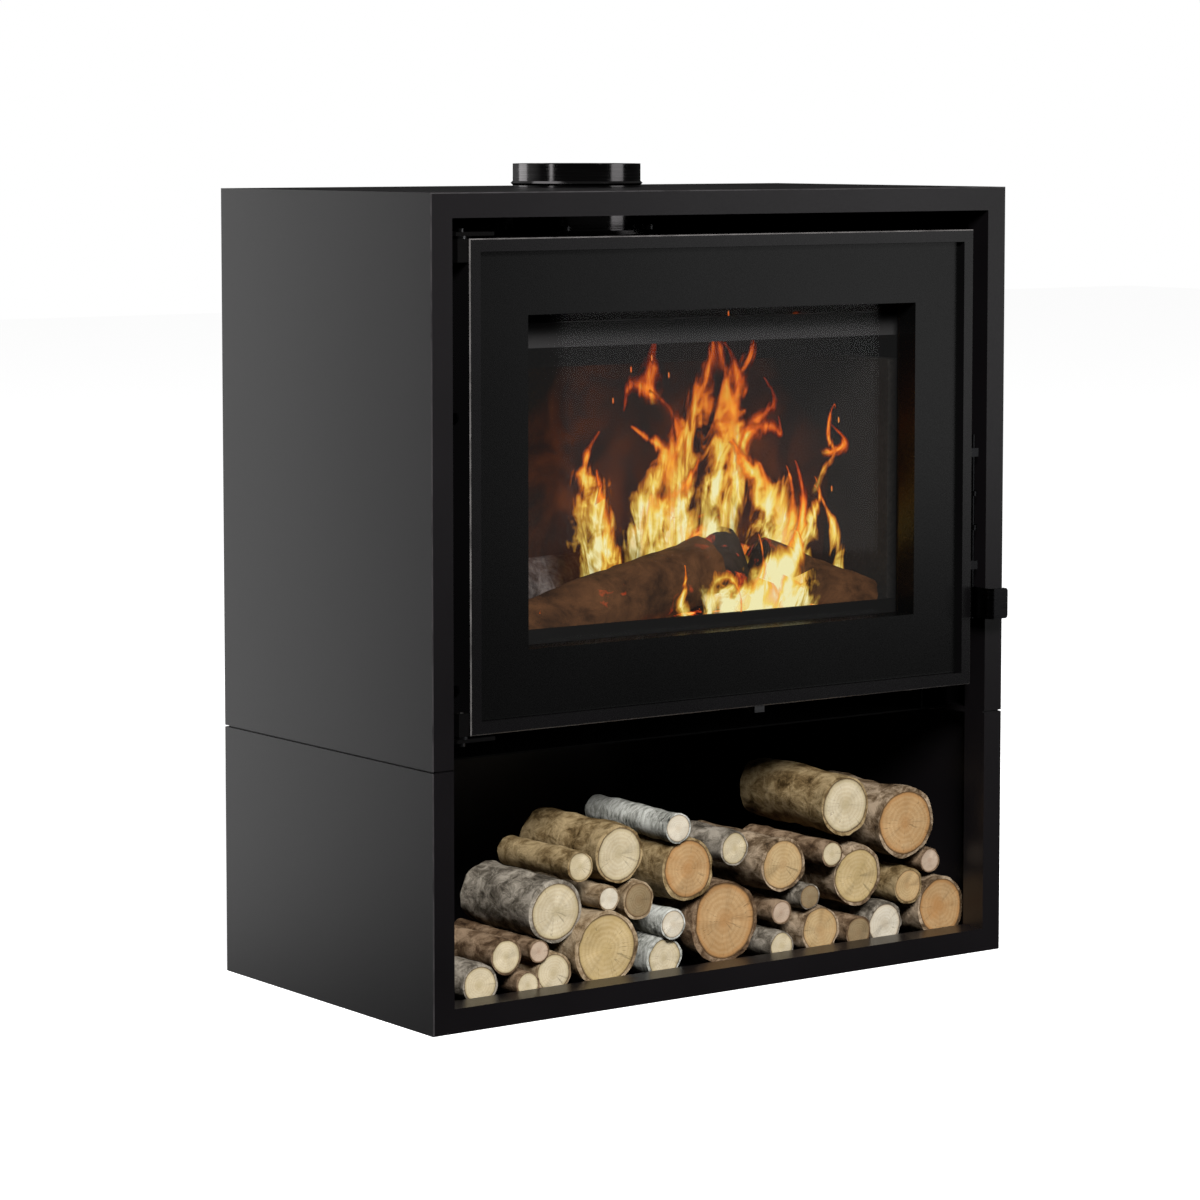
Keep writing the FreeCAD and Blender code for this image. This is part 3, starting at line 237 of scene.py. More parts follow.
def brick_board():
    """Pressed vermiculite: flaky specks under cloudy patches of soot."""
    material, tree, shader, place = new_material("vermiculite_board")
    flakes = tree.nodes.new("ShaderNodeTexVoronoi")
    flakes.inputs["Scale"].default_value = 260
    tree.links.new(place, flakes.inputs["Vector"])
    base = ramp(tree, flakes.outputs["Color"], [(0.0, (0.010, 0.009, 0.008)), (1.0, (0.020, 0.018, 0.016))])
    soot = spread(tree, noise(tree, place, 5, 4), 0.35, 0.7)
    tree.links.new(mixed(tree, soot, base, (0.007, 0.0065, 0.006)), shader.inputs["Base Color"])
    shader.inputs["Roughness"].default_value = 0.95
    bumped(tree, shader, flakes.outputs["Distance"], 0.5, 0.0008)
    return material


def dress(node, material):
    """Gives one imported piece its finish."""
    mesh = nodes[node].data
    mesh.materials.clear()
    mesh.materials.append(material)


def finish_slot(slot, material):
    """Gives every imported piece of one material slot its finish."""
    for part in frame["record"]["subparts"]:
        if part["material_slot"] == slot:
            dress(part["node"], material)


def finish_frame():
    """Finishes for every slot, with painted highlights on the chamfered edges of the outer paint."""
    # Lighter colours painted on the chamfered edges as highlights, for the door and for the case.
    door_edge_glint = (0.085, 0.080, 0.078)
    faint = (0.030, 0.028, 0.029)
    finish_slot("case_paint", painted("case_paint", (0.0038, 0.0033, 0.0037), 0.32, highlight_colour=faint))
    finish_slot("door_paint", painted("door_paint", (0.0029, 0.0027, 0.0029), 0.27, gloss=0.3, highlight_colour=door_edge_glint))
    finish_slot("inner_paint", painted("inner_paint", (0.0022, 0.0021, 0.0021), 0.75))
    sooty = (0.0022, 0.0020, 0.0018)
    finish_slot("firebox_steel", painted("firebox_steel", sooty, 0.85, 300, 0.3, gloss=0.15))
    finish_slot("cast_iron", painted("cast_iron", sooty, 0.8, 220, 0.5, gloss=0.12))
    finish_slot("deflector_steel", painted("deflector_steel", (0.024, 0.023, 0.023), 0.75, gloss=0.2))
    finish_slot("flue_paint", rolled("flue_paint", (0.170, 0.163, 0.165), 0.13))
    finish_slot("vermiculite", brick_board())
    finish_slot("fire_glass", clear_glass())
    finish_slot("seal_fibre", fibre("seal_fibre"))
    finish_slot("plated_steel", steel("plated_steel", (0.20, 0.20, 0.205), 0.35))
    finish_slot("latch_steel", steel("latch_steel", (0.035, 0.035, 0.037), 0.3))
    finish_slot("foot_rubber", painted("foot_rubber", (0.02, 0.02, 0.02), 0.8))
    finish_door_pieces()


def finish_door_pieces():
    """The door panel is darker than its frame, and the hinges are black; both have painted highlights on their
    chamfered edges.
    """
    panel = painted("panel_paint", (0.0016, 0.0016, 0.0016), 0.27, gloss=0.24, highlight_colour=(0.045, 0.043, 0.043))
    dress("door_front_panel", panel)
    # A dim painted highlight on the hinges' chamfered edges.
    hinge = painted("hinge_black", (0.0015, 0.0014, 0.0014), 0.6, gloss=0.2, highlight_colour=(0.02, 0.019, 0.018))
    for name in ("upper_hinge_lug", "lower_hinge_lug", "upper_hinge_bracket", "lower_hinge_bracket"):
        dress(name, hinge)


# ---------------------------------------------------------------- firewood


def joined_coordinates(tree, x, y, z):
    """A vector from three sockets or numbers."""
    node = tree.nodes.new("ShaderNodeCombineXYZ")
    for index, given in enumerate((x, y, z)):
        if isinstance(given, bpy.types.NodeSocket):
            tree.links.new(given, node.inputs[index])
        else:
            node.inputs[index].default_value = given
    return node.outputs["Vector"]


def own_map(tree, name):
    """The piece's own map as a vector, then its two parts."""
    source = tree.nodes.new("ShaderNodeUVMap")
    source.uv_map = name
    parts = tree.nodes.new("ShaderNodeSeparateXYZ")
    tree.links.new(source.outputs["UV"], parts.inputs["Vector"])
    return source.outputs["UV"], parts.outputs["X"], parts.outputs["Y"]


def cut_wood(name, pale, dark, rim):
    """A sawn end: growth rings, a darker heart, short radial cracks and a dark line under the bark."""
    material, tree, shader, place = new_material(name)
    flat, across, up = own_map(tree, "grain")
    rings = tree.nodes.new("ShaderNodeTexWave")
    rings.wave_type = "RINGS"
    rings.rings_direction = "SPHERICAL"
    for socket, number in (("Scale", 2.3), ("Distortion", 4.5), ("Detail", 3), ("Detail Scale", 1.6)):
        rings.inputs[socket].default_value = number
    tree.links.new(flat, rings.inputs["Vector"])
    cloud = noise(tree, place, 42, 3)
    tone = plus(tree, times(tree, rings.outputs["Fac"], 0.15), times(tree, cloud, 0.74))
    wood = ramp(tree, tone, [(0.22, dark), (0.70, pale)])
    squares = (math_step(tree, "POWER", side, 2) for side in (across, up))
    reach = math_step(tree, "SQRT", plus(tree, *squares))
    wood = mixed(tree, spread(tree, reach, 0.05, 0.34, 0.55, 0), wood, rim)
    sapwood = spread(tree, plus(tree, reach, times(tree, cloud, 0.2)), 0.82, 0.94, 0, 0.6)
    wood = mixed(tree, sapwood, wood, rim)
    angle = math_step(tree, "ARCTAN2", up, across)
    splits = noise(tree, joined_coordinates(tree, times(tree, angle, 3.2), 0, cloud), 1.5, 1)
    split = spread(tree, math_step(tree, "ABSOLUTE", minus(tree, splits, 0.5)), 0.0, 0.011, 1, 0)
    wood = mixed(tree, times(tree, split, 0.45), wood, tuple(c * 0.2 for c in dark))
    blotch = spread(tree, noise(tree, place, 26, 3, 0.6), 0.54, 0.72, 0, 0.55)
    wood = mixed(tree, blotch, wood, rim)
    under_bark = spread(tree, plus(tree, reach, times(tree, cloud, 0.06)), 0.87, 0.93)
    tree.links.new(mixed(tree, under_bark, wood, (0.045, 0.024, 0.011)), shader.inputs["Base Color"])
    shader.inputs["Roughness"].default_value = 0.85
    shader.inputs["Specular IOR Level"].default_value = 0.2
    marks = noise(tree, stretched(tree, place, (90, 1, 900)), 1, 2)
    bumped(tree, shader, minus(tree, marks, split), 0.35, 0.0008)
    return material


def bark(name, dark, middle, pale, along=0.75, scale=70):
    """Ridged bark with pale and dark patches."""
    material, tree, shader, place = new_material(name)
    ridges = noise(tree, stretched(tree, place, (1, along, 1)), scale, 8, 0.72, 0.5)
    patches = noise(tree, place, 28, 4)
    tone = plus(tree, times(tree, ridges, 0.65), times(tree, patches, 0.35))
    colours = ramp(tree, tone, [(0.37, dark), (0.46, middle), (0.58, pale)])
    tree.links.new(colours, shader.inputs["Base Color"])
    shader.inputs["Roughness"].default_value = 0.9
    shader.inputs["Specular IOR Level"].default_value = 0.15
    bumped(tree, shader, ridges, 0.8, 0.004)
    return material


def select_where(piece, kind, test):
    """In edit mode, selects only the faces, edges or verts that pass a test."""
    bpy.ops.mesh.select_mode(type={"faces": "FACE", "edges": "EDGE", "verts": "VERT"}[kind])
    bpy.ops.mesh.select_all(action="DESELECT")
    mesh = bmesh.from_edit_mesh(piece.data)
    for item in getattr(mesh, kind):
        if test(item):
            item.select_set(True)
    bmesh.update_edit_mesh(piece.data)


def cloud_texture(name, size):
    """A cloud pattern for pushing surfaces."""
    texture = bpy.data.textures.new(name, "CLOUDS")
    texture.noise_scale = size
    return texture


def roughen(piece, texture, strength):
    """Pushes the surface in and out by a cloud pattern fixed in space."""
    push = piece.modifiers.new("rough", "DISPLACE")
    push.texture = texture
    push.texture_coords = "GLOBAL"
    push.strength = strength
    bpy.ops.object.modifier_apply(modifier=push.name)


# A log's mesh: sides, spacing of its rings of edges, swelling as a share of its radius, and the insets
# of its ends as shares of its radius, bark first.
LOG_SIDES, LOG_SPACING, LOG_SWELL = 44, 0.014, 0.27
END_INSETS = (0.09, 0.3, 0.3)


def log(name, radius, length, front, skin, wood, turn):
    """A round log. Front is the middle of its near end, and unturned it runs to the back from there."""
    bpy.ops.object.select_all(action="DESELECT")
    bpy.ops.mesh.primitive_cylinder_add(
        vertices=LOG_SIDES, radius=radius, depth=length, end_fill_type="NGON",
        location=(0, length / 2, 0), rotation=(math.pi / 2, 0, 0),
    )
    piece = bpy.context.object
    piece.name = name
    bpy.ops.object.transform_apply()
    bpy.ops.object.mode_set(mode="EDIT")
    select_where(piece, "edges", lambda e: abs(e.verts[0].co.y - e.verts[1].co.y) > length / 2)
    bpy.ops.mesh.subdivide(number_cuts=max(6, int(length / LOG_SPACING)))
    for end in (-1, 1):
        select_where(piece, "faces", lambda f: f.normal.y * end > 0.9)
        for share in END_INSETS:
            bpy.ops.mesh.inset(thickness=radius * share)
        bpy.ops.mesh.poke()
    bpy.ops.object.mode_set(mode="OBJECT")
    piece.data.materials.append(skin)
    piece.data.materials.append(wood)
    grain = piece.data.uv_layers.new(name="grain")
    for face in piece.data.polygons:
        spots = [piece.data.vertices[piece.data.loops[i].vertex_index].co for i in face.loop_indices]
        inside = all(math.hypot(spot.x, spot.z) < radius * 0.95 for spot in spots)
        face.material_index = int(inside)
        for index, spot in zip(face.loop_indices, spots):
            grain.data[index].uv = (spot.x / radius, spot.z / radius)
    piece.rotation_euler = turn
    piece.location = front
    bpy.context.view_layer.update()
    roughen(piece, cloud_texture("swell", radius * 1.5), radius * LOG_SWELL)
    roughen(piece, cloud_texture("ridge", 0.011), min(0.0035, radius * 0.12))
    bpy.ops.object.transform_apply()
    bpy.ops.object.shade_smooth_by_angle(angle=math.radians(38))
    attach(piece, "root")


# Each stored log: place across and up, radius, bark and cut wood.
STORED = [
    (-0.312, 0.038, 0.022, "grey", "cream"), (-0.275, 0.064, 0.020, "brown", "cream"),
    (-0.251, 0.031, 0.015, "brown", "cream"), (-0.232, 0.065, 0.013, "brown", "rose"),
    (-0.211, 0.038, 0.023, "tan", "cream"), (-0.205, 0.105, 0.035, "grey", "cream"),
    (-0.144, 0.058, 0.043, "tan", "yellow"), (-0.139, 0.114, 0.014, "tan", "white"),
    (-0.175, 0.153, 0.017, "ochre", "cream"), (-0.120, 0.161, 0.033, "ochre", "cream"),
    (-0.096, 0.107, 0.021, "tan", "brown"), (-0.050, 0.075, 0.017, "birch", "white"),
    (-0.057, 0.036, 0.024, "birch", "cream"), (-0.027, 0.135, 0.036, "ochre", "orange"),
    (-0.045, 0.184, 0.017, "birch", "white"), (0.031, 0.068, 0.048, "brown", "orange"),
    (0.041, 0.151, 0.020, "grey", "cream"), (0.110, 0.125, 0.031, "rugged", "tan"),
    (0.111, 0.069, 0.014, "brown", "rose"), (0.108, 0.031, 0.017, "grey", "cream"),
    (0.147, 0.084, 0.015, "grey", "brown"), (0.163, 0.044, 0.028, "rugged", "tan"),
    (0.179, 0.131, 0.015, "brown", "cream"), (0.225, 0.099, 0.035, "rugged", "yellow"),
    (0.202, 0.185, 0.035, "ochre", "cream"), (0.221, 0.034, 0.019, "brown", "brown"),
    (0.265, 0.038, 0.026, "grey", "white"), (0.298, 0.080, 0.021, "ochre", "tan"),
    (0.295, 0.155, 0.041, "rugged", "orange"), (0.338, 0.105, 0.015, "brown", "rose"),
    (0.349, 0.050, 0.036, "rugged", "orange"),
]
# Where the stored logs' near ends lie, and how long the logs are.
STORE_FRONT, STORED_LENGTH = -0.171, 0.150


def firewood():
    """The heap of short round logs in the store."""
    barks = {
        "grey": bark("bark_grey", (0.012, 0.010, 0.007), (0.078, 0.066, 0.051), (0.252, 0.222, 0.180)),
        "brown": bark("bark_brown", (0.018, 0.010, 0.006), (0.078, 0.048, 0.027), (0.216, 0.150, 0.096)),
        "tan": bark("bark_tan", (0.036, 0.022, 0.011), (0.150, 0.102, 0.057), (0.312, 0.240, 0.156)),
        "ochre": bark("bark_ochre", (0.027, 0.016, 0.006), (0.114, 0.075, 0.033), (0.276, 0.204, 0.108)),
        "rugged": bark(
            "bark_rugged", (0.013, 0.008, 0.005), (0.096, 0.063, 0.036), (0.300, 0.228, 0.156), 0.7, 70
        ),
        "birch": bark(
            "bark_birch", (0.007, 0.007, 0.006), (0.198, 0.198, 0.174), (0.432, 0.432, 0.396), 2.2, 75
        ),
    }
    woods = {
        "cream": cut_wood("wood_cream", (0.422, 0.365, 0.262), (0.314, 0.257, 0.160), (0.262, 0.211, 0.114)),
        "white": cut_wood("wood_white", (0.456, 0.416, 0.342), (0.353, 0.308, 0.234), (0.342, 0.285, 0.205)),
        "rose": cut_wood("wood_rose", (0.376, 0.296, 0.228), (0.262, 0.194, 0.137), (0.239, 0.160, 0.108)),
        "yellow": cut_wood(
            "wood_yellow", (0.376, 0.291, 0.160), (0.257, 0.182, 0.080), (0.296, 0.217, 0.097)
        ),
        "tan": cut_wood("wood_tan", (0.353, 0.262, 0.142), (0.251, 0.165, 0.074), (0.285, 0.177, 0.080)),
        "orange": cut_wood(
            "wood_orange", (0.331, 0.222, 0.114), (0.239, 0.137, 0.057), (0.251, 0.120, 0.040)
        ),
        "brown": cut_wood("wood_brown", (0.205, 0.154, 0.091), (0.131, 0.091, 0.046), (0.142, 0.091, 0.046)),
    }
    chance = random.Random(7)
    for number, (x, z, radius, skin, wood) in enumerate(STORED):
        front = (x, STORE_FRONT + chance.uniform(-0.004, 0.010), z)
        length = STORED_LENGTH + chance.uniform(-0.012, 0.012)
        lean = (chance.uniform(-0.015, 0.015), 0, chance.uniform(-0.03, 0.03))
        log(f"stored_log_{number + 1}", radius, length, front, barks[skin], woods[wood], lean)


# ---------------------------------------------------------------- fire


def glowing(name, colour, low, high, strength, scale=34):
    """Charred wood: flaky black and grey, with embers that glow in its cracks."""
    material, tree, shader, place = new_material(name)
    flakes = noise(tree, place, scale, 6, 0.7, 0.4)
    dark = tuple(c * 0.25 for c in colour)
    tree.links.new(ramp(tree, flakes, [(0.35, dark), (0.65, colour)]), shader.inputs["Base Color"])
    shader.inputs["Roughness"].default_value = 0.95
    heat = spread(tree, noise(tree, place, scale * 0.6, 5, 0.6, 1.2), low, high)
    fire = ramp(tree, heat, [
        (0, (0, 0, 0)), (0.35, (0.35, 0.025, 0.002)), (0.7, (1, 0.22, 0.02)), (1, (1, 0.6, 0.15)),
    ])
    tree.links.new(fire, shader.inputs["Emission Color"])
    shader.inputs["Emission Strength"].default_value = strength
    bumped(tree, shader, flakes, 0.9, 0.004)
    return material


def flame_sheet(name, lift, clear):
    """A thin flame: its own map runs across it and along it. Lift makes it hotter, clear thinner."""
    material, tree, shader, place = new_material(name)
    across, along = own_map(tree, "UVMap")[1:]
    middle = minus(tree, 1, math_step(tree, "ABSOLUTE", minus(tree, times(tree, across, 2), 1)))
    wisp = noise(tree, place, 24, 3, 0.55, 1.0)
    licks = noise(tree, stretched(tree, place, (46, 30, 13)), 1, 2, 0.5, 2.2)
    ragged = plus(tree, middle, times(tree, minus(tree, wisp, 0.5), 1.3))
    body = plus(tree, ragged, times(tree, minus(tree, licks, 0.5), 1.5))
    cool = times(tree, math_step(tree, "POWER", along, 1.3), 0.60)
    parts = tree.nodes.new("ShaderNodeSeparateXYZ")
    tree.links.new(place, parts.inputs["Vector"])
    cool = plus(tree, cool, spread(tree, parts.outputs["Z"], 0.52, 0.76, 0, 0.42))
    heat = plus(tree, minus(tree, times(tree, body, 0.80), cool), lift)
    colours = ramp(tree, heat, [
        (0.00, (0.24, 0.018, 0.001)), (0.22, (0.62, 0.085, 0.005)), (0.42, (1.0, 0.22, 0.012)),
        (0.60, (1.0, 0.44, 0.035)), (0.80, (1.0, 0.72, 0.13)), (1.0, (1.0, 0.93, 0.50)),
    ])
    tree.links.new(colours, shader.inputs["Emission Color"])
    shader.inputs["Emission Strength"].default_value = 1.1
    shader.inputs["Base Color"].default_value = (0, 0, 0, 1)
    shader.inputs["Specular IOR Level"].default_value = 0
    faded = times(tree, spread(tree, body, clear, clear + 0.55), spread(tree, ragged, 0.02, 0.4))
    rooted = plus(tree, along, times(tree, minus(tree, wisp, 0.5), 0.3))
    faded = times(tree, faded, spread(tree, rooted, 0.0, 0.16))
    faded = times(tree, faded, spread(tree, parts.outputs["Z"], 0.55, 0.78, 1, 0.55))
    tree.links.new(faded, shader.inputs["Alpha"])
    return material


def fire_haze():
    """The dim red glow of smoke behind the flames."""
    material, tree, shader, place = new_material("fire_haze")
    across, along = own_map(tree, "UVMap")[1:]
    side = times(tree, across, minus(tree, 1, across))
    rise = times(tree, along, minus(tree, 1, along))
    smoke = spread(tree, noise(tree, place, 14, 4, 0.6, 0.8), 0.35, 0.7)
    colours = ramp(tree, smoke, [(0.2, (0.14, 0.022, 0.002)), (0.9, (0.34, 0.075, 0.010))])
    tree.links.new(colours, shader.inputs["Emission Color"])
    shader.inputs["Emission Strength"].default_value = 0.5
    shader.inputs["Base Color"].default_value = (0, 0, 0, 1)
    shader.inputs["Specular IOR Level"].default_value = 0
    veil = times(tree, times(tree, side, rise), plus(tree, smoke, 0.25))
    tree.links.new(math_step(tree, "MINIMUM", times(tree, veil, 8), 0.8), shader.inputs["Alpha"])
    return material


def spine_point(spine, share):
    """A smooth way through the points of a spine, with its direction."""
    count = len(spine) - 1
    step = min(int(share * count), count - 1)
    t = share * count - step
    ends = [spine[max(step - 1, 0)], spine[step], spine[step + 1], spine[min(step + 2, count)]]
    spot, way = [], []
    for a, b, c, d in zip(*ends):
        slope, bend, twist = c - a, 2 * a - 5 * b + 4 * c - d, 3 * b - a - 3 * c + d
        spot.append(0.5 * (2 * b + slope * t + bend * t**2 + twist * t**3))
        way.append(0.5 * (slope + 2 * bend * t + 3 * twist * t**2))
    return spot, math.atan2(way[0], way[1])


def flame(name, spine, width, depth, material, tip=0.1, foot=0.6):
    """A ribbon bent along a spine of (across, up). It is broad low down and narrows to its tip."""
    rows = FLAME_ROWS * len(spine)
    bpy.ops.object.select_all(action="DESELECT")
    bpy.ops.mesh.primitive_grid_add(
        x_subdivisions=FLAME_COLUMNS, y_subdivisions=rows, size=1, rotation=(math.pi / 2, 0, 0)
    )
    piece = bpy.context.object
    piece.name = name
    bpy.ops.object.transform_apply()
    bpy.ops.object.mode_set(mode="EDIT")
    for row in range(rows + 1):
        share = row / rows
        height = share - 0.5
        (x, z), lean = spine_point(spine, share)
        swell = foot + (1 - foot) * math.sin(math.pi * min(share / 0.7, 1))
        size = FLAME_FULLNESS * width * max(tip, swell * (1 - share**2.5))
        select_where(piece, "verts", lambda v: abs(v.co.z - height) < 0.2 / rows and abs(v.co.y) < 1e-6)
        middle = (0, 0, height)
        bpy.ops.transform.resize(value=(size, 1, 1), center_override=middle)
        bpy.ops.transform.rotate(value=-lean, orient_axis="Y", center_override=middle)
        wave = FLAME_SWAY * math.sin(5 * share + 9 * x)
        bpy.ops.transform.translate(value=(x, depth + wave, z - height))
    bpy.ops.object.mode_set(mode="OBJECT")
    piece.data.materials.append(material)
    bpy.ops.object.shade_smooth()
    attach(piece, "root")


# A flame's mesh: rows for each point of its spine, columns, width against the given one, and sway in depth.
FLAME_ROWS, FLAME_COLUMNS, FLAME_FULLNESS, FLAME_SWAY = 6, 6, 1.35, 0.012

# Each flame: kind, width, depth, and the points of its spine across and up.
FLAMES = [
    ("hot", 0.085, -0.080,
     [(0.020, 0.410), (0.026, 0.490), (0.042, 0.590), (0.050, 0.655), (0.064, 0.705), (0.071, 0.748)]),
    ("hot", 0.080, -0.075,
     [(0.090, 0.410), (0.084, 0.510), (0.091, 0.590), (0.094, 0.655), (0.084, 0.705), (0.073, 0.742)]),
    ("warm", 0.070, -0.068,
     [(0.118, 0.450), (0.124, 0.600), (0.116, 0.655), (0.110, 0.690), (0.098, 0.722)]),
    ("hot", 0.075, -0.078,
     [(-0.105, 0.400), (-0.088, 0.495), (-0.085, 0.540), (-0.098, 0.577), (-0.100, 0.602), (-0.092, 0.628)]),
    ("warm", 0.060, -0.070,
     [(-0.075, 0.400), (-0.064, 0.480), (-0.062, 0.522), (-0.076, 0.553), (-0.090, 0.584)]),
    ("hot", 0.060, -0.078,
     [(-0.034, 0.410), (-0.024, 0.507), (-0.010, 0.545), (0.008, 0.580), (0.004, 0.604),
      (-0.022, 0.616), (-0.048, 0.632)]),
    ("warm", 0.060, -0.074,
     [(0.036, 0.450), (0.038, 0.527), (0.029, 0.577), (0.035, 0.605),
      (0.022, 0.635), (0.006, 0.654), (-0.020, 0.672)]),
    ("hot", 0.090, -0.085,
     [(0.000, 0.420), (0.004, 0.485), (0.000, 0.530), (0.024, 0.560), (0.044, 0.590)]),
    ("hot", 0.105, -0.084,
     [(0.150, 0.400), (0.166, 0.482), (0.158, 0.520), (0.134, 0.558), (0.108, 0.588), (0.096, 0.610)]),
    ("hot", 0.070, -0.070, [(0.175, 0.420), (0.186, 0.500), (0.158, 0.540), (0.152, 0.580)]),
    ("hot", 0.034, -0.098, [(0.248, 0.404), (0.242, 0.470), (0.228, 0.515), (0.218, 0.552)]),
    ("warm", 0.016, -0.100,
     [(0.218, 0.540), (0.226, 0.570), (0.234, 0.590), (0.220, 0.612),
      (0.226, 0.636), (0.240, 0.646), (0.250, 0.640)]),
    ("thin", 0.018, -0.099, [(0.230, 0.588), (0.242, 0.594), (0.247, 0.608), (0.240, 0.624)]),
    ("hot", 0.034, -0.096,
     [(0.200, 0.420), (0.200, 0.480), (0.202, 0.514), (0.216, 0.544), (0.220, 0.562)]),
    ("warm", 0.034, -0.080, [(0.182, 0.450), (0.184, 0.515), (0.188, 0.575)]),
    ("thin", 0.032, -0.078, [(0.200, 0.440), (0.202, 0.515), (0.204, 0.580)]),
    ("white", 0.105, -0.146,
     [(0.112, 0.398), (0.122, 0.425), (0.116, 0.455), (0.138, 0.484), (0.148, 0.506)]),
    ("white", 0.150, -0.140, [(0.070, 0.394), (0.084, 0.415), (0.094, 0.436), (0.104, 0.456)]),
    ("white", 0.080, -0.144, [(0.146, 0.396), (0.140, 0.420), (0.130, 0.444), (0.134, 0.462)]),
    ("hot", 0.030, -0.144, [(0.004, 0.396), (-0.008, 0.425), (-0.014, 0.450), (-0.022, 0.478)]),
    ("hot", 0.030, -0.147,
     [(0.026, 0.396), (0.030, 0.430), (0.036, 0.454), (0.048, 0.458), (0.056, 0.436), (0.056, 0.404)]),
    ("hot", 0.028, -0.142, [(0.078, 0.398), (0.086, 0.430), (0.092, 0.462), (0.090, 0.506)]),
    ("thin", 0.030, -0.062,
     [(0.140, 0.583), (0.145, 0.612), (0.166, 0.622), (0.182, 0.612), (0.190, 0.632)]),
    ("warm", 0.040, -0.060, [(0.128, 0.630), (0.134, 0.680), (0.141, 0.712), (0.143, 0.742)]),
    ("thin", 0.032, -0.058, [(0.146, 0.612), (0.162, 0.632), (0.174, 0.652), (0.170, 0.678)]),
    ("thin", 0.034, -0.060, [(0.008, 0.650), (0.008, 0.684), (0.002, 0.716), (-0.004, 0.746)]),
    ("thin", 0.028, -0.058, [(0.020, 0.660), (-0.004, 0.674), (-0.030, 0.670), (-0.044, 0.648)]),
    ("thin", 0.018, -0.100, [(0.185, 0.752), (0.196, 0.742), (0.212, 0.728)]),
    ("warm", 0.018, -0.146, [(-0.192, 0.402), (-0.198, 0.420), (-0.212, 0.440)]),
    ("hot", 0.016, -0.147, [(-0.214, 0.400), (-0.210, 0.412), (-0.214, 0.424)]),
]
# Smoke behind them: width, depth and spine.
HAZE = [
    (0.30, -0.030, [(0.060, 0.420), (0.070, 0.520), (0.060, 0.620), (0.050, 0.720)]),
    (0.22, -0.024, [(-0.060, 0.440), (-0.070, 0.540), (-0.060, 0.640), (-0.040, 0.730)]),
    (0.22, -0.036, [(0.160, 0.420), (0.180, 0.520), (0.160, 0.620), (0.130, 0.710)]),
]
# Sparks, across and up.
SPARKS = [
    (0.071, 0.757), (0.031, 0.748), (-0.053, 0.730), (-0.038, 0.710), (-0.067, 0.698),
    (-0.014, 0.690), (-0.011, 0.744), (0.234, 0.629), (0.224, 0.549), (-0.092, 0.664),
]
SPARK_RADIUS, SPARK_DEPTH = 0.0016, -0.115


def flames():
    """The flames, from hottest to thinnest, and the haze behind them."""
    kinds = {
        "white": flame_sheet("flame_white", 0.62, 0.10), "hot": flame_sheet("flame_hot", 0.26, 0.42),
        "warm": flame_sheet("flame_warm", 0.10, 0.42), "thin": flame_sheet("flame_thin", 0.0, 0.22),
    }
    for number, (kind, width, depth, spine) in enumerate(FLAMES):
        flame(f"flame_{number + 1}", spine, width, depth, kinds[kind])
    haze = fire_haze()
    for number, (width, depth, spine) in enumerate(HAZE):
        flame(f"fire_haze_{number + 1}", spine, width, depth, haze, tip=0.4, foot=0.8)


def sparks():
    """Small upright sparks above the flames."""
    material, tree, shader, place = new_material("spark")
    colours = ramp(tree, noise(tree, place, 90, 2), [(0.35, (1.0, 0.16, 0.01)), (0.65, (1.0, 0.42, 0.06))])
    tree.links.new(colours, shader.inputs["Emission Color"])
    shader.inputs["Emission Strength"].default_value = 0.9
    shader.inputs["Base Color"].default_value = (0, 0, 0, 1)
    for number, (x, z) in enumerate(SPARKS):
        bpy.ops.object.select_all(action="DESELECT")
        bpy.ops.mesh.primitive_ico_sphere_add(
            subdivisions=1, radius=SPARK_RADIUS, location=(x, SPARK_DEPTH, z)
        )
        spark = bpy.context.object
        spark.name = f"spark_{number + 1}"
        bpy.ops.transform.resize(value=(0.6, 0.6, 2.4))
        bpy.ops.object.transform_apply()
        spark.data.materials.append(material)
        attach(spark, "root")


HEAP_MIDDLE, HEAP_SIZE = (0.03, -0.055, 0.405), (0.46, 0.16, 0.006)


def ember_bed(material):
    """A shallow uneven heap of ash and embers on the grate."""
    bpy.ops.object.select_all(action="DESELECT")
    bpy.ops.mesh.primitive_cube_add(size=1, location=HEAP_MIDDLE)
    heap = bpy.context.object
    heap.name = "ember_bed"
    bpy.ops.transform.resize(value=HEAP_SIZE)
    bpy.ops.object.transform_apply()
    bpy.ops.object.mode_set(mode="EDIT")
    bpy.ops.mesh.select_all(action="SELECT")
    bpy.ops.mesh.subdivide(number_cuts=36)
    bpy.ops.object.mode_set(mode="OBJECT")
    push = heap.modifiers.new("heap", "DISPLACE")
    push.texture = cloud_texture("heap", 0.03)
    push.texture_coords = "GLOBAL"
    push.direction = "Z"
    push.mid_level = 0.25
    push.strength = 0.022
    bpy.ops.object.modifier_apply(modifier=push.name)
    bpy.ops.object.shade_smooth()
    heap.data.materials.append(material)
    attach(heap, "root")


def lying(rise, heading):
    """A log's turn, in degrees: how far its back end rises, and which way it heads."""
    return math.radians(rise), 0, math.radians(heading)


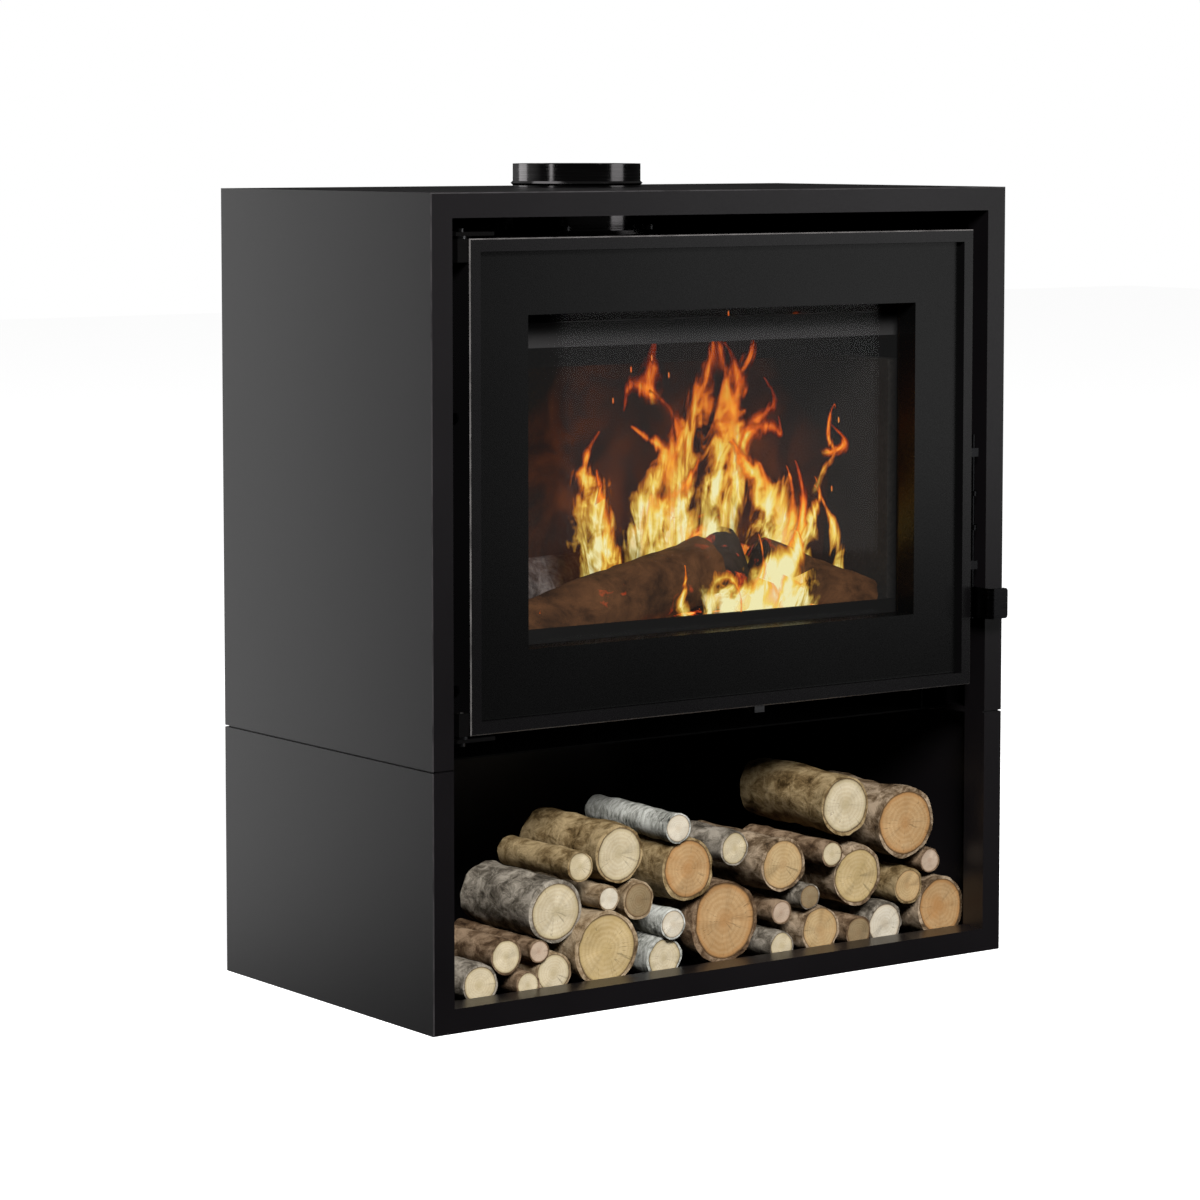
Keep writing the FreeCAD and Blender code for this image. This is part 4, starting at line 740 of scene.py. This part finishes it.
def burning_logs():
    """The ember bed and the logs on fire."""
    char = glowing("charred_wood", (0.030, 0.022, 0.018), 0.56, 0.74, 1.2)
    coal = glowing("ember_coal", (0.05, 0.04, 0.036), 0.46, 0.62, 1.5, 60)
    brown = glowing("scorched_bark", (0.080, 0.034, 0.013), 0.62, 0.80, 1.0, 26)
    grey = bark("ashen_bark", (0.010, 0.009, 0.008), (0.040, 0.036, 0.034), (0.11, 0.10, 0.095))
    ember_bed(coal)
    log("burning_log_left", 0.037, 0.300, (-0.236, -0.112, 0.402), brown, char, lying(12, -86))
    log("burning_log_right", 0.034, 0.150, (0.268, -0.116, 0.408), brown, char, lying(22, 78))
    log("burning_log_middle", 0.034, 0.120, (0.072, -0.112, 0.432), char, char, lying(30, -25))
    log("burning_log_back", 0.034, 0.330, (-0.236, 0.010, 0.440), grey, char, lying(2, -88))
    log("burning_log_cross", 0.026, 0.200, (0.040, -0.060, 0.428), char, char, lying(6, -60))


# ---------------------------------------------------------------- stage, light and camera


def plain_floor():
    """A white floor that the camera sees, but that puts no light or reflection on the stove."""
    bpy.ops.object.select_all(action="DESELECT")
    bpy.ops.mesh.primitive_plane_add(size=30, location=(0, 0, -0.0005))
    floor = bpy.context.object
    floor.name = "studio_floor"
    material, _, shader, _ = new_material("studio_floor")
    shader.inputs["Base Color"].default_value = (0.8, 0.8, 0.8, 1)
    shader.inputs["Roughness"].default_value = 1
    shader.inputs["Specular IOR Level"].default_value = 0
    shader.inputs["Emission Color"].default_value = (1, 1, 1, 1)
    shader.inputs["Emission Strength"].default_value = FLOOR_GLOW
    floor.data.materials.append(material)
    floor.visible_diffuse = False
    floor.visible_glossy = False


def surroundings():
    """White to the eye. To the stove it is bright behind on the left, and dark below."""
    world = bpy.data.worlds.new("studio_world")
    world.use_nodes = True
    tree = world.node_tree
    place = tree.nodes.new("ShaderNodeTexCoord")
    parts = tree.nodes.new("ShaderNodeSeparateXYZ")
    tree.links.new(place.outputs["Generated"], parts.inputs["Vector"])
    x, y, z = (parts.outputs[letter] for letter in "XYZ")
    left = times(tree, x, -0.45)
    behind = plus(tree, left, times(tree, y, 0.9))
    sky = spread(tree, behind, 0.62, 1.0, 0.0, BACK_GLOW)
    glow = times(tree, sky, spread(tree, z, -0.30, 0.35, 0.25, 1.0))
    level = plus(tree, glow, spread(tree, z, -0.1, 0.6, DIM_LOW, DIM_HIGH))
    seen = tree.nodes.new("ShaderNodeLightPath")
    shade = tree.nodes.new("ShaderNodeMix")
    for index, given in ((0, seen.outputs["Is Camera Ray"]), (2, level)):
        tree.links.new(given, shade.inputs[index])
    shade.inputs[3].default_value = 1.0
    tree.links.new(shade.outputs[0], tree.nodes["Background"].inputs["Strength"])
    tree.nodes["Background"].inputs["Color"].default_value = (1, 1, 1, 1)
    scene.world = world


def soft_light(name, at, towards, size, power):
    """A white rectangular soft box aimed at a point."""
    lamp = bpy.data.lights.new(name, "AREA")
    lamp.shape = "RECTANGLE"
    lamp.size, lamp.size_y = size
    lamp.energy = power
    holder = bpy.data.objects.new(name, lamp)
    scene.collection.objects.link(holder)
    holder.location = at
    holder.rotation_euler = (Vector(towards) - Vector(at)).to_track_quat("-Z", "Y").to_euler()
    holder.visible_camera = False
    return holder


def studio():
    """The floor, the surroundings and the lamps."""
    plain_floor()
    surroundings()
    scene.view_settings.view_transform = "Standard"
    high = soft_light("high_front_box", (-1.7, -3.9, 3.1), (0, -0.2, 0.2), (1.8, 1.2), FRONT_POWER)
    high.visible_glossy = False
    soft_light("left_back_box", (-1.05, 1.75, 0.58), (-0.4, 0.1, 0.55), (0.9, 1.9), LEFT_POWER)
    soft_light("right_front_box", (1.85, -1.95, 0.92), (0.3, -0.2, 0.65), (1.3, 1.4), RIGHT_POWER)
    soft_light("flue_strip", (-2.2, -0.25, 1.05), (0, 0.083, 0.90), (0.22, 0.8), STRIP_POWER)
    soft_light("overhead_box", (0.2, 0.6, 2.4), (0, 0, 0.9), (1.6, 0.9), TOP_POWER)


def camera():
    """The eye stands at the left of the front, a little above the case."""
    azimuth, down = math.radians(35.983), math.radians(4.903)
    lens = bpy.data.cameras.new("camera")
    lens.sensor_width = 36
    lens.lens = 121.49
    lens.shift_y = -0.1
    lens.clip_start, lens.clip_end = 0.1, 100
    holder = bpy.data.objects.new("camera", lens)
    scene.collection.objects.link(holder)
    holder.location = (-2.7602, -3.7649, 0.9628)
    holder.rotation_euler = (math.radians(90) - down, 0, -azimuth)
    scene.camera = holder


finish_frame()
firewood()
burning_logs()
flames()
sparks()
studio()
camera()
